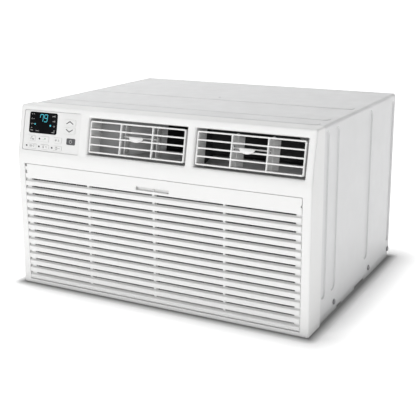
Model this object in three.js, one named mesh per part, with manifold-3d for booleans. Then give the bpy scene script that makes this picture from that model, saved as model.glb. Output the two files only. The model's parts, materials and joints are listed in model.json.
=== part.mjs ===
// A window air conditioner with a screwed-on cabinet: cooling coil, blower, compressor and condenser on one
// base pan, a plastic front with a swing-down intake grille, two louvred outlets and a push-button panel.
// Millimetres, +Z up, +X to the right seen from the front, the front faces -Y.
// The origin is at the middle of the object's base.

import * as THREE from "three";
import { mergeVertices } from "three/addons/utils/BufferGeometryUtils.js";
import Module from "manifold-3d";

const wasm = await Module();
wasm.setup();

// ---------------------------------------------------------------- driving dimensions

const WIDTH = 615;
const DEPTH = 485;
const HEIGHT = 360;
const GAP = 0.5; // clearance between neighbouring pieces

const FRONT = -DEPTH / 2;
const BACK = DEPTH / 2;
const SIDE = WIDTH / 2;

// Front bezel: a plastic shell whose face leans back above the bend.
const BEZEL = { wall: 2.5, seam: FRONT + 45.5, bend: 265, lean: 20.5, edge: 3 };
const LEAN_ANGLE = Math.atan2(BEZEL.lean, HEIGHT - BEZEL.bend);

// Intake grille door: plate with V grooves that end in narrow air slots.
const DOOR = { half: 290.4, low: 9, high: 247, thick: 12, chamfer: 2.5, pivotIn: 3 };
const GROOVE = { count: 14, pitch: 14.95, first: 17.65, front: 8.5, slotLow: 3.1, slotHigh: 5.6, deep: 10 };
const SLOT = { half: 281.5, rib: 5, ribs: [-144, 0, 144] };
const FILTER = { half: 283, low: 14, high: 240, front: FRONT + DOOR.thick + 0.5, thick: 5, rim: 7 };
const CORD_INLET = { y: -214, z: 52, hole: 9.3 };

// Air outlets on the leaning face: x of the two centres, and the size of each tunnel.
const OUTLET = { left: -39, right: 188, half: 107, low: 10.5, high: 85, wall: 2, deep: 36 };
const LOUVRE = { half: 102, high: 60, rim: 2.8, front: 1, back: 29, bar: 2.8, barDeep: 9, pivotIn: 15 };
const VANE = { x: 34, pivotIn: 24, fore: 11, aft: 18, thick: 1.8, high: 53, linkRadius: 9 };
const LINK = { low: 4.8, thick: 2.4, wide: 6 };
const PADDLE = { half: 15, tip: -24, root: -16.7, drop: 8 };
const OUTLET_MIDDLE = (OUTLET.low + OUTLET.high) / 2;
const VANES_SWUNG = { left: THREE.MathUtils.degToRad(17), right: THREE.MathUtils.degToRad(-18) };

// Control panel on the leaning face: x and height up the face.
const PANEL = { left: -296.5, right: -163.5, low: 10.5, high: 87.5, recess: 1 };
const DISPLAY = { left: -284.5, right: -218, low: 44, high: 84.5 };
const BUTTON_TRAVEL_ROOM = 1.5;
const BUTTONS = {
  up_button: { x: -188, s: 69.6, wide: 27, high: 12 },
  down_button: { x: -188, s: 54.2, wide: 27, high: 12 },
  power_button: { x: -183, s: 33.8, wide: 20, high: 12 },
  fan_speed_button: { x: -275.6, s: 33.8, wide: 17, high: 10 },
  energy_saver_button: { x: -244, s: 33.8, wide: 19, high: 10 },
  mode_button: { x: -214, s: 33.8, wide: 20, high: 10 },
  filter_reset_button: { x: -274, s: 18.6, wide: 20, high: 9 },
  sleep_button: { x: -243.7, s: 18.6, wide: 20, high: 9 },
  timer_button: { x: -213, s: 18.6, wide: 20, high: 9 },
};
const LIGHTS = [[-257.6, 33.8], [-287.4, 18.6], [-257.3, 18.6], [-226.3, 18.6]];
const LIGHT_RADIUS = 1.6;
const BOARD_IN = 12;

// Sheet metal: the wrap over the top and sides, the base pan and the rear grille.
const SHEET = 1.2;
const WRAP = { half: 304.5, top: 358.8, low: 14, radius: 6, channelDeep: 2.4, ribHigh: 1.1, flange: 9 };
const SIDE_CHANNELS = [[-179, -157, 45, 350], [-132, -105, 45, 350], [60, 87, 45, 350], [217, 234, 40, 346]];
const TOP_RIBS = [[-180, -158], [-131, -108], [-2, 20]];
const TOP_RIB_HALF = 292;
const BRACKET_SCALLOP = { y: 14, radius: 20, hole: 2.5, holeY: 27 };
const PAN = { half: 302.8, front: -219, floor: 8, wall: 30, rail: 45, railAt: 205 };
const PAN_NOTCHES = [[-88, -62, 4.5], [15, 72, 6]];
const SCREW_YS = [-110, 97, 232];
const SCREW = { z: 20, head: 5.4, headThick: 2.2, shank: 2, long: 10 };
const DRAIN = { x: -262, y: 205, hole: 8 };

// Air and refrigerant parts. Both fans share one shaft along Y.
const AXIS = { x: 81, z: 166 };
const SHAFT_RADIUS = 6;
const EVAPORATOR = { left: -198, right: 292, front: -204, back: -156, low: 22, high: 246 };
const BLOWER = { radius: 82, front: -126, back: -62, blades: 22, eye: 64 };
const SCROLL = { front: -144, back: -52, start: 92, growth: 26, wall: 2, top: 256 };
const DUCT = { left: -152, right: 299, front: -184, back: -50, low: 258, high: 353 };
const BULKHEAD_Y = -42;
const PIPE_PASSAGES = [[-212, 252, 8], [-172, 112, 5]];
const MOTOR = { radius: 60, front: -30, back: 62 };
const FAN = { hub: 34, ring: 141, ringWall: 3, front: 112, back: 140, blades: 5 };
const SHROUD = { plate: 150, ring: 146, left: -132, right: 297, low: 12, high: 350 };
const CONDENSER = { left: -128, right: 293, front: 196, back: 232, low: 14, high: 346 };
const COMPRESSOR = { x: -212, y: 84, radius: 56, low: 32, high: 232 };
const ACCUMULATOR = { x: -212, y: -6, radius: 22, low: 96, high: 206 };
const GROMMET = { reach: 72, radius: 11, high: 17 };

// ---------------------------------------------------------------- materials

const finish = (color, roughness, metalness = 0) =>
  new THREE.MeshStandardMaterial({ color, roughness, metalness });
const WHITE_PLASTIC = finish("#f1f1f0", 0.45);
const BUTTON_PLASTIC = finish("#ececeb", 0.4);
const DARK_PLASTIC = finish("#4a4b4d", 0.5);
const BLACK_GLASS = finish("#050608", 0.12);
const CLEAR_PLASTIC = finish("#20221f", 0.3);
const DUCT_PLASTIC = finish("#5c5e60", 0.7);
const WHITE_STEEL = finish("#e6e6e6", 0.4, 0.1);
const ZINC_STEEL = finish("#a9adb0", 0.42, 0.9);
const FIN_ALUMINIUM = finish("#c5c8ca", 0.4, 0.9);
const COPPER = finish("#b4683f", 0.32, 1);
const BLACK_STEEL = finish("#17181a", 0.5, 0.3);
const RUBBER = finish("#1b1b1b", 0.85);
const BOARD = finish("#1d5a36", 0.6);
const MESH_BLACK = finish("#2e3032", 0.8);

// ---------------------------------------------------------------- geometry helpers

const X = new THREE.Vector3(1, 0, 0);
const Y = new THREE.Vector3(0, 1, 0);
const Z = new THREE.Vector3(0, 0, 1);

// The extruded shape's own axes (across, up, along) laid on the object's axes.
const EXTRUDE_TO = {
  x: new THREE.Matrix4().makeBasis(Y, Z, X),
  y: new THREE.Matrix4().makeBasis(X, Z, Y.clone().negate()),
  z: new THREE.Matrix4(),
};

// A frame on the leaning face: x across, y into the object, z up the face from the bend line.
const LEANING = new THREE.Matrix4()
  .makeRotationX(-LEAN_ANGLE)
  .setPosition(0, FRONT, BEZEL.bend);

function block(x0, x1, y0, y1, z0, z1) {
  const box = new THREE.BoxGeometry(x1 - x0, y1 - y0, z1 - z0);
  return box.translate((x0 + x1) / 2, (y0 + y1) / 2, (z0 + z1) / 2);
}

// An outline, as points or a THREE.Shape, pushed along an axis. Along x it is drawn in (y, z), along y in
// (x, z) and along z in (x, y).
function prism(outline, axis, from, to, curveSegments = 1) {
  const isShape = outline instanceof THREE.Shape;
  const shape = isShape ? outline : new THREE.Shape(outline.map(([u, v]) => new THREE.Vector2(u, v)));
  const geometry = new THREE.ExtrudeGeometry(shape, { depth: to - from, bevelEnabled: false, curveSegments });
  geometry.applyMatrix4(EXTRUDE_TO[axis]);
  const shift = axis === "y" ? to : from;
  return geometry.translate(axis === "x" ? shift : 0, axis === "y" ? shift : 0, axis === "z" ? shift : 0);
}

// A round bar along an axis, with its other two coordinates in x, y, z order.
function rod(axis, radius, from, to, u, v, sides = 16) {
  const geometry = new THREE.CylinderGeometry(radius, radius, to - from, sides);
  const middle = (from + to) / 2;
  if (axis === "x") return geometry.rotateZ(Math.PI / 2).translate(middle, u, v);
  if (axis === "y") return geometry.translate(u, middle, v);
  return geometry.rotateX(Math.PI / 2).translate(u, v, middle);
}

function roundedRectangle(u0, u1, v0, v1, radius) {
  const shape = new THREE.Shape();
  shape.absarc(u1 - radius, v1 - radius, radius, 0, Math.PI / 2);
  shape.absarc(u0 + radius, v1 - radius, radius, Math.PI / 2, Math.PI);
  shape.absarc(u0 + radius, v0 + radius, radius, Math.PI, 1.5 * Math.PI);
  shape.absarc(u1 - radius, v0 + radius, radius, 1.5 * Math.PI, 2 * Math.PI);
  return shape;
}

// A profile of [radius, height] points turned about a vertical axis.
function turned(profile, x, y, sides = 24) {
  const points = profile.map(([radius, height]) => new THREE.Vector2(radius, height));
  return new THREE.LatheGeometry(points, sides).rotateX(Math.PI / 2).translate(x, y, 0);
}

function pipe(points, radius, steps) {
  const path = new THREE.CatmullRomCurve3(points.map((p) => new THREE.Vector3(...p)));
  const section = new THREE.Shape().absarc(0, 0, radius, 0, 2 * Math.PI);
  return new THREE.ExtrudeGeometry(section, { extrudePath: path, steps, curveSegments: 4 });
}

// A closed geometry as a manifold-3d solid, for joining and cutting.
function solid(geometry) {
  if (!geometry.isBufferGeometry) return geometry;
  const bare = geometry.clone();
  bare.deleteAttribute("normal");
  bare.deleteAttribute("uv");
  const merged = mergeVertices(bare, 1e-4);
  return new wasm.Manifold(
    new wasm.Mesh({
      numProp: 3,
      vertProperties: merged.attributes.position.array,
      triVerts: new Uint32Array(merged.index.array),
    }),
  );
}

const join = (first, ...rest) => rest.reduce((sum, next) => sum.add(solid(next)), solid(first));
const cut = (body, ...tools) => tools.reduce((rest, tool) => rest.subtract(solid(tool)), solid(body));
const leaning = (geometry) => geometry.applyMatrix4(LEANING);

function piece(name, body, material) {
  const { vertProperties, triVerts } = solid(body).getMesh();
  const indexed = new THREE.BufferGeometry();
  indexed.setAttribute("position", new THREE.BufferAttribute(vertProperties, 3));
  indexed.setIndex(new THREE.BufferAttribute(triVerts, 1));
  const geometry = indexed.toNonIndexed();
  geometry.computeVertexNormals();
  const mesh = new THREE.Mesh(geometry, material);
  mesh.name = name;
  return mesh;
}

const unit = new THREE.Group();

// A group whose axes are the leaning face's, for the pieces that sit square to it.
const face = new THREE.Group();
face.rotation.x = -LEAN_ANGLE;
face.position.set(0, FRONT, BEZEL.bend);
unit.add(face);

// ---------------------------------------------------------------- cabinet

function channelTool(axis, u0, u1, v0, v1, depthFrom, depthTo, grow) {
  const radius = Math.min(u1 - u0, v1 - v0) / 2 - 1;
  const outline = roundedRectangle(u0 - grow, u1 + grow, v0 - grow, v1 + grow, radius + grow);
  return prism(outline, axis, depthFrom, depthTo);
}

// Every pressed side channel as a solid that reaches from outside the sheet to its depth.
function sideChannels(grow) {
  const reach = WRAP.channelDeep + grow;
  return [-1, 1].flatMap((hand) =>
    SIDE_CHANNELS.map(([y0, y1, z0, z1]) => {
      const from = hand < 0 ? -WRAP.half - 1 : WRAP.half - reach;
      const to = hand < 0 ? -WRAP.half + reach : WRAP.half + 1;
      return channelTool("x", y0, y1, z0, z1, from, to, grow);
    }),
  );
}

// The raised ribs of the top, with the round boss of the bracket hole on the last of them.
function topRibs(inset) {
  const [low, high] = [WRAP.top - inset - 0.5, WRAP.top - inset + WRAP.ribHigh];
  const bars = TOP_RIBS.map(([y0, y1]) =>
    channelTool("z", -TOP_RIB_HALF, TOP_RIB_HALF, y0, y1, low, high, -inset),
  );
  const { y, radius } = BRACKET_SCALLOP;
  return [...bars, rod("z", radius - inset, low, high, 0, y, 24)];
}

function cabinetWrap() {
  const arch = (inset) =>
    roundedRectangle(-WRAP.half + inset, WRAP.half - inset, -60, WRAP.top - inset, WRAP.radius - inset);
  const rear = BACK;
  const front = BEZEL.seam + GAP;
  const outside = join(cut(prism(arch(0), "y", front, rear, 2), ...sideChannels(0)), ...topRibs(0));
  const hollow = prism(arch(SHEET), "y", front - 1, rear - SHEET, 2);
  const inside = join(cut(hollow, ...sideChannels(SHEET)), ...topRibs(SHEET));
  const openHalf = WRAP.half - WRAP.flange;
  const window = block(-openHalf, openHalf, rear - 2 * SHEET, rear + 1, -80, WRAP.top - WRAP.flange);
  const below = block(-400, 400, front - 2, rear + 2, -80, WRAP.low);
  const screwHoles = [-1, 1].flatMap((hand) =>
    SCREW_YS.map((y) =>
      rod("x", SCREW.shank + GAP, hand * WRAP.half - 4, hand * WRAP.half + 4, y, SCREW.z, 12),
    ),
  );
  const { hole, holeY } = BRACKET_SCALLOP;
  const bracketHole = rod("z", hole, WRAP.top - 8, WRAP.top + 2, 0, holeY, 10);
  return cut(outside, inside, window, below, bracketHole, ...screwHoles);
}

function basePan() {
  const floorTop = PAN.floor + SHEET;
  const skirtFront = BEZEL.seam + GAP;
  const back = BACK - 2 * SHEET - 3;
  const tray = cut(
    block(-PAN.half, PAN.half, PAN.front, back, PAN.floor, PAN.wall),
    block(-PAN.half + SHEET, PAN.half - SHEET, PAN.front + SHEET, back - SHEET, floorTop, PAN.wall + 1),
  );
  const skirt = cut(
    block(-PAN.half, PAN.half, skirtFront, back, 0, floorTop),
    block(-PAN.half + SHEET, PAN.half - SHEET, skirtFront + SHEET, back - SHEET, -1, PAN.floor),
  );
  const rails = [-1, 1].map((hand) => {
    const x0 = hand * PAN.railAt - PAN.rail / 2;
    const x1 = hand * PAN.railAt + PAN.rail / 2;
    const rail = block(x0, x1, skirtFront + 12, back - 12, 0, floorTop);
    const inside = block(
      x0 + SHEET, x1 - SHEET, skirtFront + 12 + SHEET, back - 12 - SHEET, SHEET, floorTop + 1);
    return [rail, inside];
  });
  const notches = PAN_NOTCHES.flatMap(([y0, y1, high]) => [
    block(-PAN.half - 1, -PAN.half + 2, y0, y1, -1, high),
    block(PAN.half - 2, PAN.half + 1, y0, y1, -1, high),
  ]);
  const screwHoles = [-1, 1].flatMap((hand) =>
    SCREW_YS.map((y) =>
      rod("x", SCREW.shank + GAP, hand * PAN.half - 3, hand * PAN.half + 3, y, SCREW.z, 12),
    ),
  );
  const drainHole = rod("z", DRAIN.hole, PAN.floor - 1, floorTop + 1, DRAIN.x, DRAIN.y, 16);
  return cut(join(tray, skirt, ...rails.map(([rail]) => rail)), ...rails.map(([, hollow]) => hollow),
    ...notches, ...screwHoles, drainHole);
}

// Rear grille: rows of wide openings over the condenser, and louvre slots beside it.
function rearGrille() {
  const y0 = BACK - 2 * SHEET - 0.6;
  const plate = block(-301, 301, y0, y0 + SHEET, PAN.wall - 10, 356.4);
  const coilRows = 11;
  const coilPitch = 29;
  const coilColumns = [[-122, 8], [18, 148], [158, 288]];
  const coilWindows = Array.from({ length: coilRows }, (_, row) =>
    coilColumns.map(([x0, x1]) =>
      block(x0, x1, y0 - 1, y0 + 3, 30 + row * coilPitch, 52 + row * coilPitch),
    ),
  ).flat();
  const slotRows = 13;
  const slotPitch = 18;
  const sideSlots = Array.from({ length: slotRows }, (_, row) =>
    block(-282, -152, y0 - 1, y0 + 3, 92 + row * slotPitch, 98 + row * slotPitch),
  );
  return cut(plate, ...coilWindows, ...sideSlots);
}

function drainPlug() {
  const top = PAN.floor + SHEET + 0.4;
  const profile = [[0, 3], [7.2, 3], [7.2, top], [10, top], [10, top + 2.5], [0, top + 2.5]];
  return turned(profile, DRAIN.x, DRAIN.y, 16);
}

function cabinetScrew(hand) {
  const under = WRAP.half + 0.3;
  const shank = rod("x", SCREW.shank, under - SCREW.long, under, 0, 0, 8);
  const head = rod("x", SCREW.head, under, under + SCREW.headThick, 0, 0, 12);
  const body = join(shank, head);
  return hand > 0 ? body : body.rotate([0, 0, 180]);
}

unit.add(piece("base_pan", basePan(), ZINC_STEEL));
unit.add(piece("cabinet_wrap", cabinetWrap(), WHITE_STEEL));
unit.add(piece("rear_grille", rearGrille(), WHITE_STEEL));
unit.add(piece("drain_plug", drainPlug(), RUBBER));
SCREW_YS.forEach((y, i) => {
  [["left", -1], ["right", 1]].forEach(([side, hand]) => {
    const screw = piece(`cabinet_screw_${side}_${i + 1}`, cabinetScrew(1), BLACK_STEEL);
    screw.rotation.z = hand < 0 ? Math.PI : 0;
    screw.position.set(0, y, SCREW.z);
    unit.add(screw);
  });
});

// ---------------------------------------------------------------- front bezel

// The bezel's side outline, moved in by a wall's thickness for its inner surface.
function bezelOutline(inset) {
  const front = FRONT + inset;
  const topFront = front + BEZEL.lean;
  const corner = BEZEL.edge - inset / 2;
  const rear = inset ? BEZEL.seam + 1 : BEZEL.seam;
  return [
    [rear, inset], [front + corner, inset], [front, inset + corner], [front, BEZEL.bend],
    [topFront - 0.2 * corner, HEIGHT - inset - corner],
    [topFront + corner, HEIGHT - inset],
    [rear, HEIGHT - inset],
  ];
}

function frontBezel() {
  const innerHalf = SIDE - BEZEL.wall;
  const shell = cut(
    prism(bezelOutline(0), "x", -SIDE, SIDE),
    prism(bezelOutline(BEZEL.wall), "x", -innerHalf, innerHalf),
  );
  const openingHalf = DOOR.half + 0.6;
  const [openingLow, openingHigh] = [DOOR.low - 0.6, DOOR.high + 0.6];
  const doorOpening = block(-openingHalf, openingHalf, FRONT - 1, FRONT + 20, openingLow, openingHigh);
  const returns = [-1, 1].map((hand) =>
    block(...[hand * openingHalf, hand * (openingHalf + 2)].sort((a, b) => a - b),
      FRONT + 1, FRONT + 17, DOOR.low - 0.6, DOOR.high + 0.6),
  );
  const [pivotY, pivotZ] = [FRONT + DOOR.pivotIn, DOOR.low + DOOR.pivotIn];
  const pivots = rod("x", 2.2, -openingHalf - 3, openingHalf + 3, pivotY, pivotZ, 12);
  const sides = [OUTLET.left, OUTLET.right];
  const tunnels = sides.map((x) => leaning(block(
    x - OUTLET.half - OUTLET.wall, x + OUTLET.half + OUTLET.wall, 1, OUTLET.deep,
    OUTLET.low - OUTLET.wall, OUTLET.high + OUTLET.wall)));
  const bores = sides.map((x) => leaning(block(
    x - OUTLET.half, x + OUTLET.half, -5, OUTLET.deep + 5, OUTLET.low, OUTLET.high)));
  const pivotHoles = sides.map((x) => leaning(rod(
    "x", 3.1, x - OUTLET.half - 3, x + OUTLET.half + 3, LOUVRE.pivotIn, OUTLET_MIDDLE, 12)));
  const panelHole = leaning(block(
    PANEL.left - GAP, PANEL.right + GAP, -5, 8, PANEL.low - GAP, PANEL.high + GAP));
  const cordHole = rod("x", CORD_INLET.hole, -SIDE - 1, -innerHalf + 1, CORD_INLET.y, CORD_INLET.z, 20);
  const walls = join(cut(shell, doorOpening), ...returns, ...tunnels);
  return cut(walls, ...bores, ...pivotHoles, panelHole, cordHole, pivots);
}

function cordGrommet() {
  const inside = -SIDE + BEZEL.wall + 0.4;
  const lip = rod("x", CORD_INLET.hole - 0.4, -SIDE + 0.2, inside, CORD_INLET.y, CORD_INLET.z, 20);
  const flange = rod("x", CORD_INLET.hole + 3, inside, inside + 2, CORD_INLET.y, CORD_INLET.z, 20);
  return cut(join(lip, flange), rod("x", 4, -SIDE - 1, inside + 3, CORD_INLET.y, CORD_INLET.z, 12));
}

unit.add(piece("front_bezel", frontBezel(), WHITE_PLASTIC));
unit.add(piece("cord_inlet_grommet", cordGrommet(), RUBBER));

// ---------------------------------------------------------------- intake grille door

// One groove, in (y, z): a funnel from the face down to the air slot's height.
function grooveOutline(z) {
  return [
    [FRONT - 1, z - 0.2], [FRONT, z], [FRONT + GROOVE.deep, z + GROOVE.slotLow],
    [FRONT + GROOVE.deep, z + GROOVE.slotHigh],
    [FRONT, z + GROOVE.front],
    [FRONT - 1, z + GROOVE.front + 0.4],
  ];
}

function intakeGrille() {
  const back = FRONT + DOOR.thick;
  const bottomFront = DOOR.chamfer;
  const outline = [
    [FRONT, DOOR.high], [FRONT, DOOR.low + bottomFront], [FRONT + bottomFront, DOOR.low],
    [back, DOOR.low], [back, DOOR.high],
  ];
  const rows = Array.from({ length: GROOVE.count }, (_, row) => GROOVE.first + row * GROOVE.pitch);
  const grooves = rows.map((z) => prism(grooveOutline(z), "x", -DOOR.half - 1, DOOR.half + 1));
  const ends = [-SLOT.half, ...SLOT.ribs, SLOT.half];
  const slots = rows.flatMap((z) =>
    ends.slice(1).map((right, column) => block(
      ends[column] + SLOT.rib / 2, right - SLOT.rib / 2,
      FRONT + GROOVE.deep - 1, back + 1, z + GROOVE.slotLow, z + GROOVE.slotHigh)),
  );
  const fingerRecess = block(-35, 35, FRONT - 1, FRONT + 9, 223.5, 230);
  const latchNotches = [-1, 1].flatMap((hand) => [[228, 234.5], [242, 248]].map(([z0, z1]) => {
    const [x0, x1] = [hand * (DOOR.half + 1), hand * (DOOR.half - 4)].sort((a, b) => a - b);
    return block(x0, x1, FRONT - 1, FRONT + 6, z0, z1);
  }));
  const pins = [-1, 1].map((hand) => {
    const [x0, x1] = [hand * (DOOR.half - 8), hand * (DOOR.half + 2.2)].sort((a, b) => a - b);
    return rod("x", 1.7, x0, x1, FRONT + DOOR.pivotIn, DOOR.low + DOOR.pivotIn, 12);
  });
  return join(cut(prism(outline, "x", -DOOR.half, DOOR.half), ...grooves, ...slots, fingerRecess,
    ...latchNotches), ...pins);
}

function filterFrame() {
  const { half, low, high, front, thick, rim } = FILTER;
  const columns = 6;
  const pitch = (2 * half - rim) / columns;
  const middle = (low + high) / 2;
  const openings = Array.from({ length: columns }, (_, i) => -half + rim + i * pitch).flatMap((x0) => [
    block(x0, x0 + pitch - rim, front - 1, front + thick + 1, low + rim, middle - 2),
    block(x0, x0 + pitch - rim, front - 1, front + thick + 1, middle + 2, high - rim),
  ]);
  return cut(block(-half, half, front, front + thick, low, high), ...openings);
}

unit.add(piece("intake_grille", intakeGrille(), WHITE_PLASTIC));
unit.add(piece("filter_frame", filterFrame(), DARK_PLASTIC));
unit.add(piece("filter_mesh", block(
  -FILTER.half + 2, FILTER.half - 2, FILTER.front + FILTER.thick + 0.3, FILTER.front + FILTER.thick + 1.3,
  FILTER.low + 2, FILTER.high - 2), MESH_BLACK));

// ---------------------------------------------------------------- control panel

function controlFascia() {
  const front = PANEL.recess;
  const plate = prism(roundedRectangle(PANEL.left, PANEL.right, PANEL.low, PANEL.high, 2), "y", front, 4.4);
  const flange = block(PANEL.left - 3.5, PANEL.right + 3.5, 3, 4.4, PANEL.low - 1.5, PANEL.high + 1.5);
  const holes = Object.values(BUTTONS).map(({ x, s, wide, high }) => {
    const [halfWide, halfHigh] = [wide / 2 + GAP, high / 2 + GAP];
    return prism(roundedRectangle(x - halfWide, x + halfWide, s - halfHigh, s + halfHigh, 2.5), "y", -1, 6);
  });
  const lightHoles = LIGHTS.map(([x, s]) => rod("y", LIGHT_RADIUS + 0.4, -1, 6, x, s, 10));
  const window = prism(
    roundedRectangle(DISPLAY.left - 0.4, DISPLAY.right + 0.4, DISPLAY.low - 0.4, DISPLAY.high + 0.4, 4.4),
    "y", -1, 6);
  return cut(join(plate, flange), ...holes, ...lightHoles, window);
}

function button({ wide, high }) {
  const cap = prism(roundedRectangle(-wide / 2, wide / 2, -high / 2, high / 2, 2), "y", 0.3, 5.2);
  const flange = block(-wide / 2 - 1.2, wide / 2 + 1.2, 5, 6.5, -high / 2 - 1.2, high / 2 + 1.2);
  const stem = rod("y", 1.8, 6.4, BOARD_IN - BUTTON_TRAVEL_ROOM, 0, 0, 8);
  return join(cap, flange, stem);
}

function lightGuide() {
  const spine = block(-289, -224.7, 5, 7, 25.3, 27.1);
  const arms = LIGHTS.map(([x, s]) => block(
    x - LIGHT_RADIUS, x + LIGHT_RADIUS, 5, 7, Math.min(s, 26) - (s < 26 ? 0 : 0.5), Math.max(s, 26)));
  const pins = LIGHTS.map(([x, s]) => rod("y", LIGHT_RADIUS, PANEL.recess - 0.2, 7, x, s, 10));
  return join(spine, ...arms, ...pins);
}

face.add(piece("control_fascia", controlFascia(), BUTTON_PLASTIC));
face.add(piece("display_window", prism(
  roundedRectangle(DISPLAY.left, DISPLAY.right, DISPLAY.low, DISPLAY.high, 4), "y", 0.6, 3.4), BLACK_GLASS));
face.add(piece("control_board", block(-294, -166, BOARD_IN, BOARD_IN + 1.6, 12, 86), BOARD));
face.add(piece("light_guide", lightGuide(), CLEAR_PLASTIC));
for (const [name, size] of Object.entries(BUTTONS)) {
  const cap = piece(name, button(size), name === "power_button" ? DARK_PLASTIC : BUTTON_PLASTIC);
  cap.position.set(size.x, 0, size.s);
  face.add(cap);
}

// ---------------------------------------------------------------- louvred outlets

function louvreFrame() {
  const { half, rim, front, back, bar, barDeep } = LOUVRE;
  const tall = LOUVRE.high / 2;
  const outer = prism(roundedRectangle(-half, half, -tall, tall, 3), "y", front, back);
  const inner = roundedRectangle(-half + rim, half - rim, -tall + rim, tall - rim, 1.5);
  const bore = prism(inner, "y", 0, back + 1);
  const rows = [-1, 0, 1].map((row) => row * (LOUVRE.high - rim) / 4);
  const bars = rows.map((s) => block(-half + 1, half - 1, front, front + barDeep, s - bar / 2, s + bar / 2));
  const uprights = [-VANE.x, VANE.x].map((x) =>
    block(x - 1.4, x + 1.4, front, front + 5, -tall + 1, tall - 1),
  );
  const pivots = [-1, 1].map((hand) => {
    const [x0, x1] = [hand * (half - 1), hand * (half + 6.4)].sort((a, b) => a - b);
    return rod("x", 2.5, x0, x1, LOUVRE.pivotIn, 0, 12);
  });
  const vaneHoles = [-VANE.x, VANE.x].map((x) => rod("z", 2, -tall - 1, tall + 1, x, VANE.pivotIn, 12));
  return cut(join(cut(outer, bore), ...bars, ...uprights, ...pivots), ...vaneHoles);
}

// A vane about its own vertical pivot, with a notch and a small pin for the link.
function vane() {
  const half = VANE.high / 2;
  const plate = block(-VANE.thick / 2, VANE.thick / 2, -VANE.fore, VANE.aft, -half, half);
  const [notchLow, notchHigh] = [LINK.low - 2.6, LINK.low + LINK.thick + 2.6];
  const notch = block(-2, 2, -VANE.fore - 1, -VANE.linkRadius + 5.2, notchLow, notchHigh);
  const linkPin = rod("z", 1.2, LINK.low - 3, LINK.low + LINK.thick + 3, 0, -VANE.linkRadius, 10);
  const pivot = rod("z", 1.5, -half - 4.5, half + 4.5, 0, 0, 10);
  const pivotGap = block(-3, 3, -1, 1, -half, half);
  return join(cut(plate, notch), linkPin, cut(pivot, pivotGap));
}

// The link between the two vanes, with the finger paddle that reaches out through the louvre.
function vaneLink() {
  const [low, high] = [LINK.low, LINK.low + LINK.thick];
  const reach = VANE.x + 3;
  const bar = prism(roundedRectangle(-reach, reach, -LINK.wide / 2, LINK.wide / 2, 2.9), "z", low, high);
  const holes = [-VANE.x, VANE.x].map((x) => rod("z", 1.7, low - 1, high + 1, x, 0, 10));
  const neck = block(-4, 4, -VANE.pivotIn + VANE.linkRadius - 3, 0, low, high);
  const { half, tip, root, drop } = PADDLE;
  const paddle = prism(roundedRectangle(-half, half, tip, root, 3.4), "z", low - drop, high + 0.6, 2);
  return join(cut(bar, ...holes), neck, paddle);
}

function outlet(side, x, swung) {
  const frame = new THREE.Group();
  frame.position.set(x, 0, OUTLET_MIDDLE);
  frame.add(piece(`${side}_louvre_frame`, louvreFrame(), WHITE_PLASTIC));
  [-VANE.x, VANE.x].forEach((vaneX, i) => {
    const blade = piece(`${side}_vane_${i + 1}`, vane(), WHITE_PLASTIC);
    blade.position.set(vaneX, VANE.pivotIn, 0);
    blade.rotation.z = swung;
    frame.add(blade);
  });
  const link = piece(`${side}_vane_link`, vaneLink(), WHITE_PLASTIC);
  link.position.set(
    VANE.linkRadius * Math.sin(swung), VANE.pivotIn - VANE.linkRadius * Math.cos(swung), 0);
  frame.add(link);
  return frame;
}

face.add(outlet("left", OUTLET.left, VANES_SWUNG.left));
face.add(outlet("right", OUTLET.right, VANES_SWUNG.right));

// ---------------------------------------------------------------- indoor side: coil, blower, duct

function finnedCoil({ left, right, front, back, low, high }, endPlate) {
  const core = block(left + endPlate, right - endPlate, front + 2, back - 2, low + 2, high - 2);
  const plates = [left, right - endPlate].map((x) => block(x, x + endPlate, front, back, low, high));
  return join(core, ...plates);
}

function blowerScroll() {
  const outline = (inset) => {
    const turns = Array.from({ length: 25 }, (_, i) => i / 24);
    const spiral = turns.map((t) => {
      const angle = Math.PI / 6 - t * Math.PI * 1.28;
      const radius = SCROLL.start + SCROLL.growth * t - inset;
      return [AXIS.x + radius * Math.cos(angle), AXIS.z + radius * Math.sin(angle)];
    });
    const [lastX] = spiral[spiral.length - 1];
    const top = inset ? SCROLL.top + 1 : SCROLL.top;
    return [...spiral, [lastX, top], [spiral[0][0], top]];
  };
  const body = prism(outline(0), "y", SCROLL.front, SCROLL.back);
  const hollow = prism(outline(SCROLL.wall), "y", SCROLL.front + SCROLL.wall, SCROLL.back - SCROLL.wall);
  const inlet = rod("y", BLOWER.eye, SCROLL.front - 1, SCROLL.front + 4, AXIS.x, AXIS.z, 32);
  const shaftHole = rod("y", 14, SCROLL.back - 4, SCROLL.back + 1, AXIS.x, AXIS.z, 16);
  return cut(body, hollow, inlet, shaftHole);
}

function blowerWheel() {
  const { radius, front, back, blades } = BLOWER;
  const backPlate = rod("y", radius, back - 2, back, 0, 0, 28);
  const frontDisc = rod("y", radius, front, front + 3, 0, 0, 28);
  const frontRing = cut(frontDisc, rod("y", radius - 14, front - 1, front + 4, 0, 0, 28));
  const vanes = Array.from({ length: blades }, (_, i) =>
    block(-0.8, 0.8, front + 1, back - 1, radius - 12, radius - 2).rotateY((i * 2 * Math.PI) / blades));
  const hub = rod("y", 16, back - 26, back, 0, 0, 16);
  const bore = rod("y", SHAFT_RADIUS + 0.3, front - 1, back + 1, 0, 0, 16);
  return cut(join(backPlate, frontRing, hub, ...vanes), bore);
}

function outletDuct() {
  const { left, right, front, back, low, high } = DUCT;
  const shell = cut(
    block(left, right, front, back, low, high),
    block(left + 2, right - 2, front - 1, back - 2, low + 2, high - 2),
    block(AXIS.x - 90, AXIS.x + 112, SCROLL.front + 2, SCROLL.back - 4, low - 1, low + 3),
  );
  return join(shell, block(74, 76, front, -150, low + 1, high - 1));
}

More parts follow.
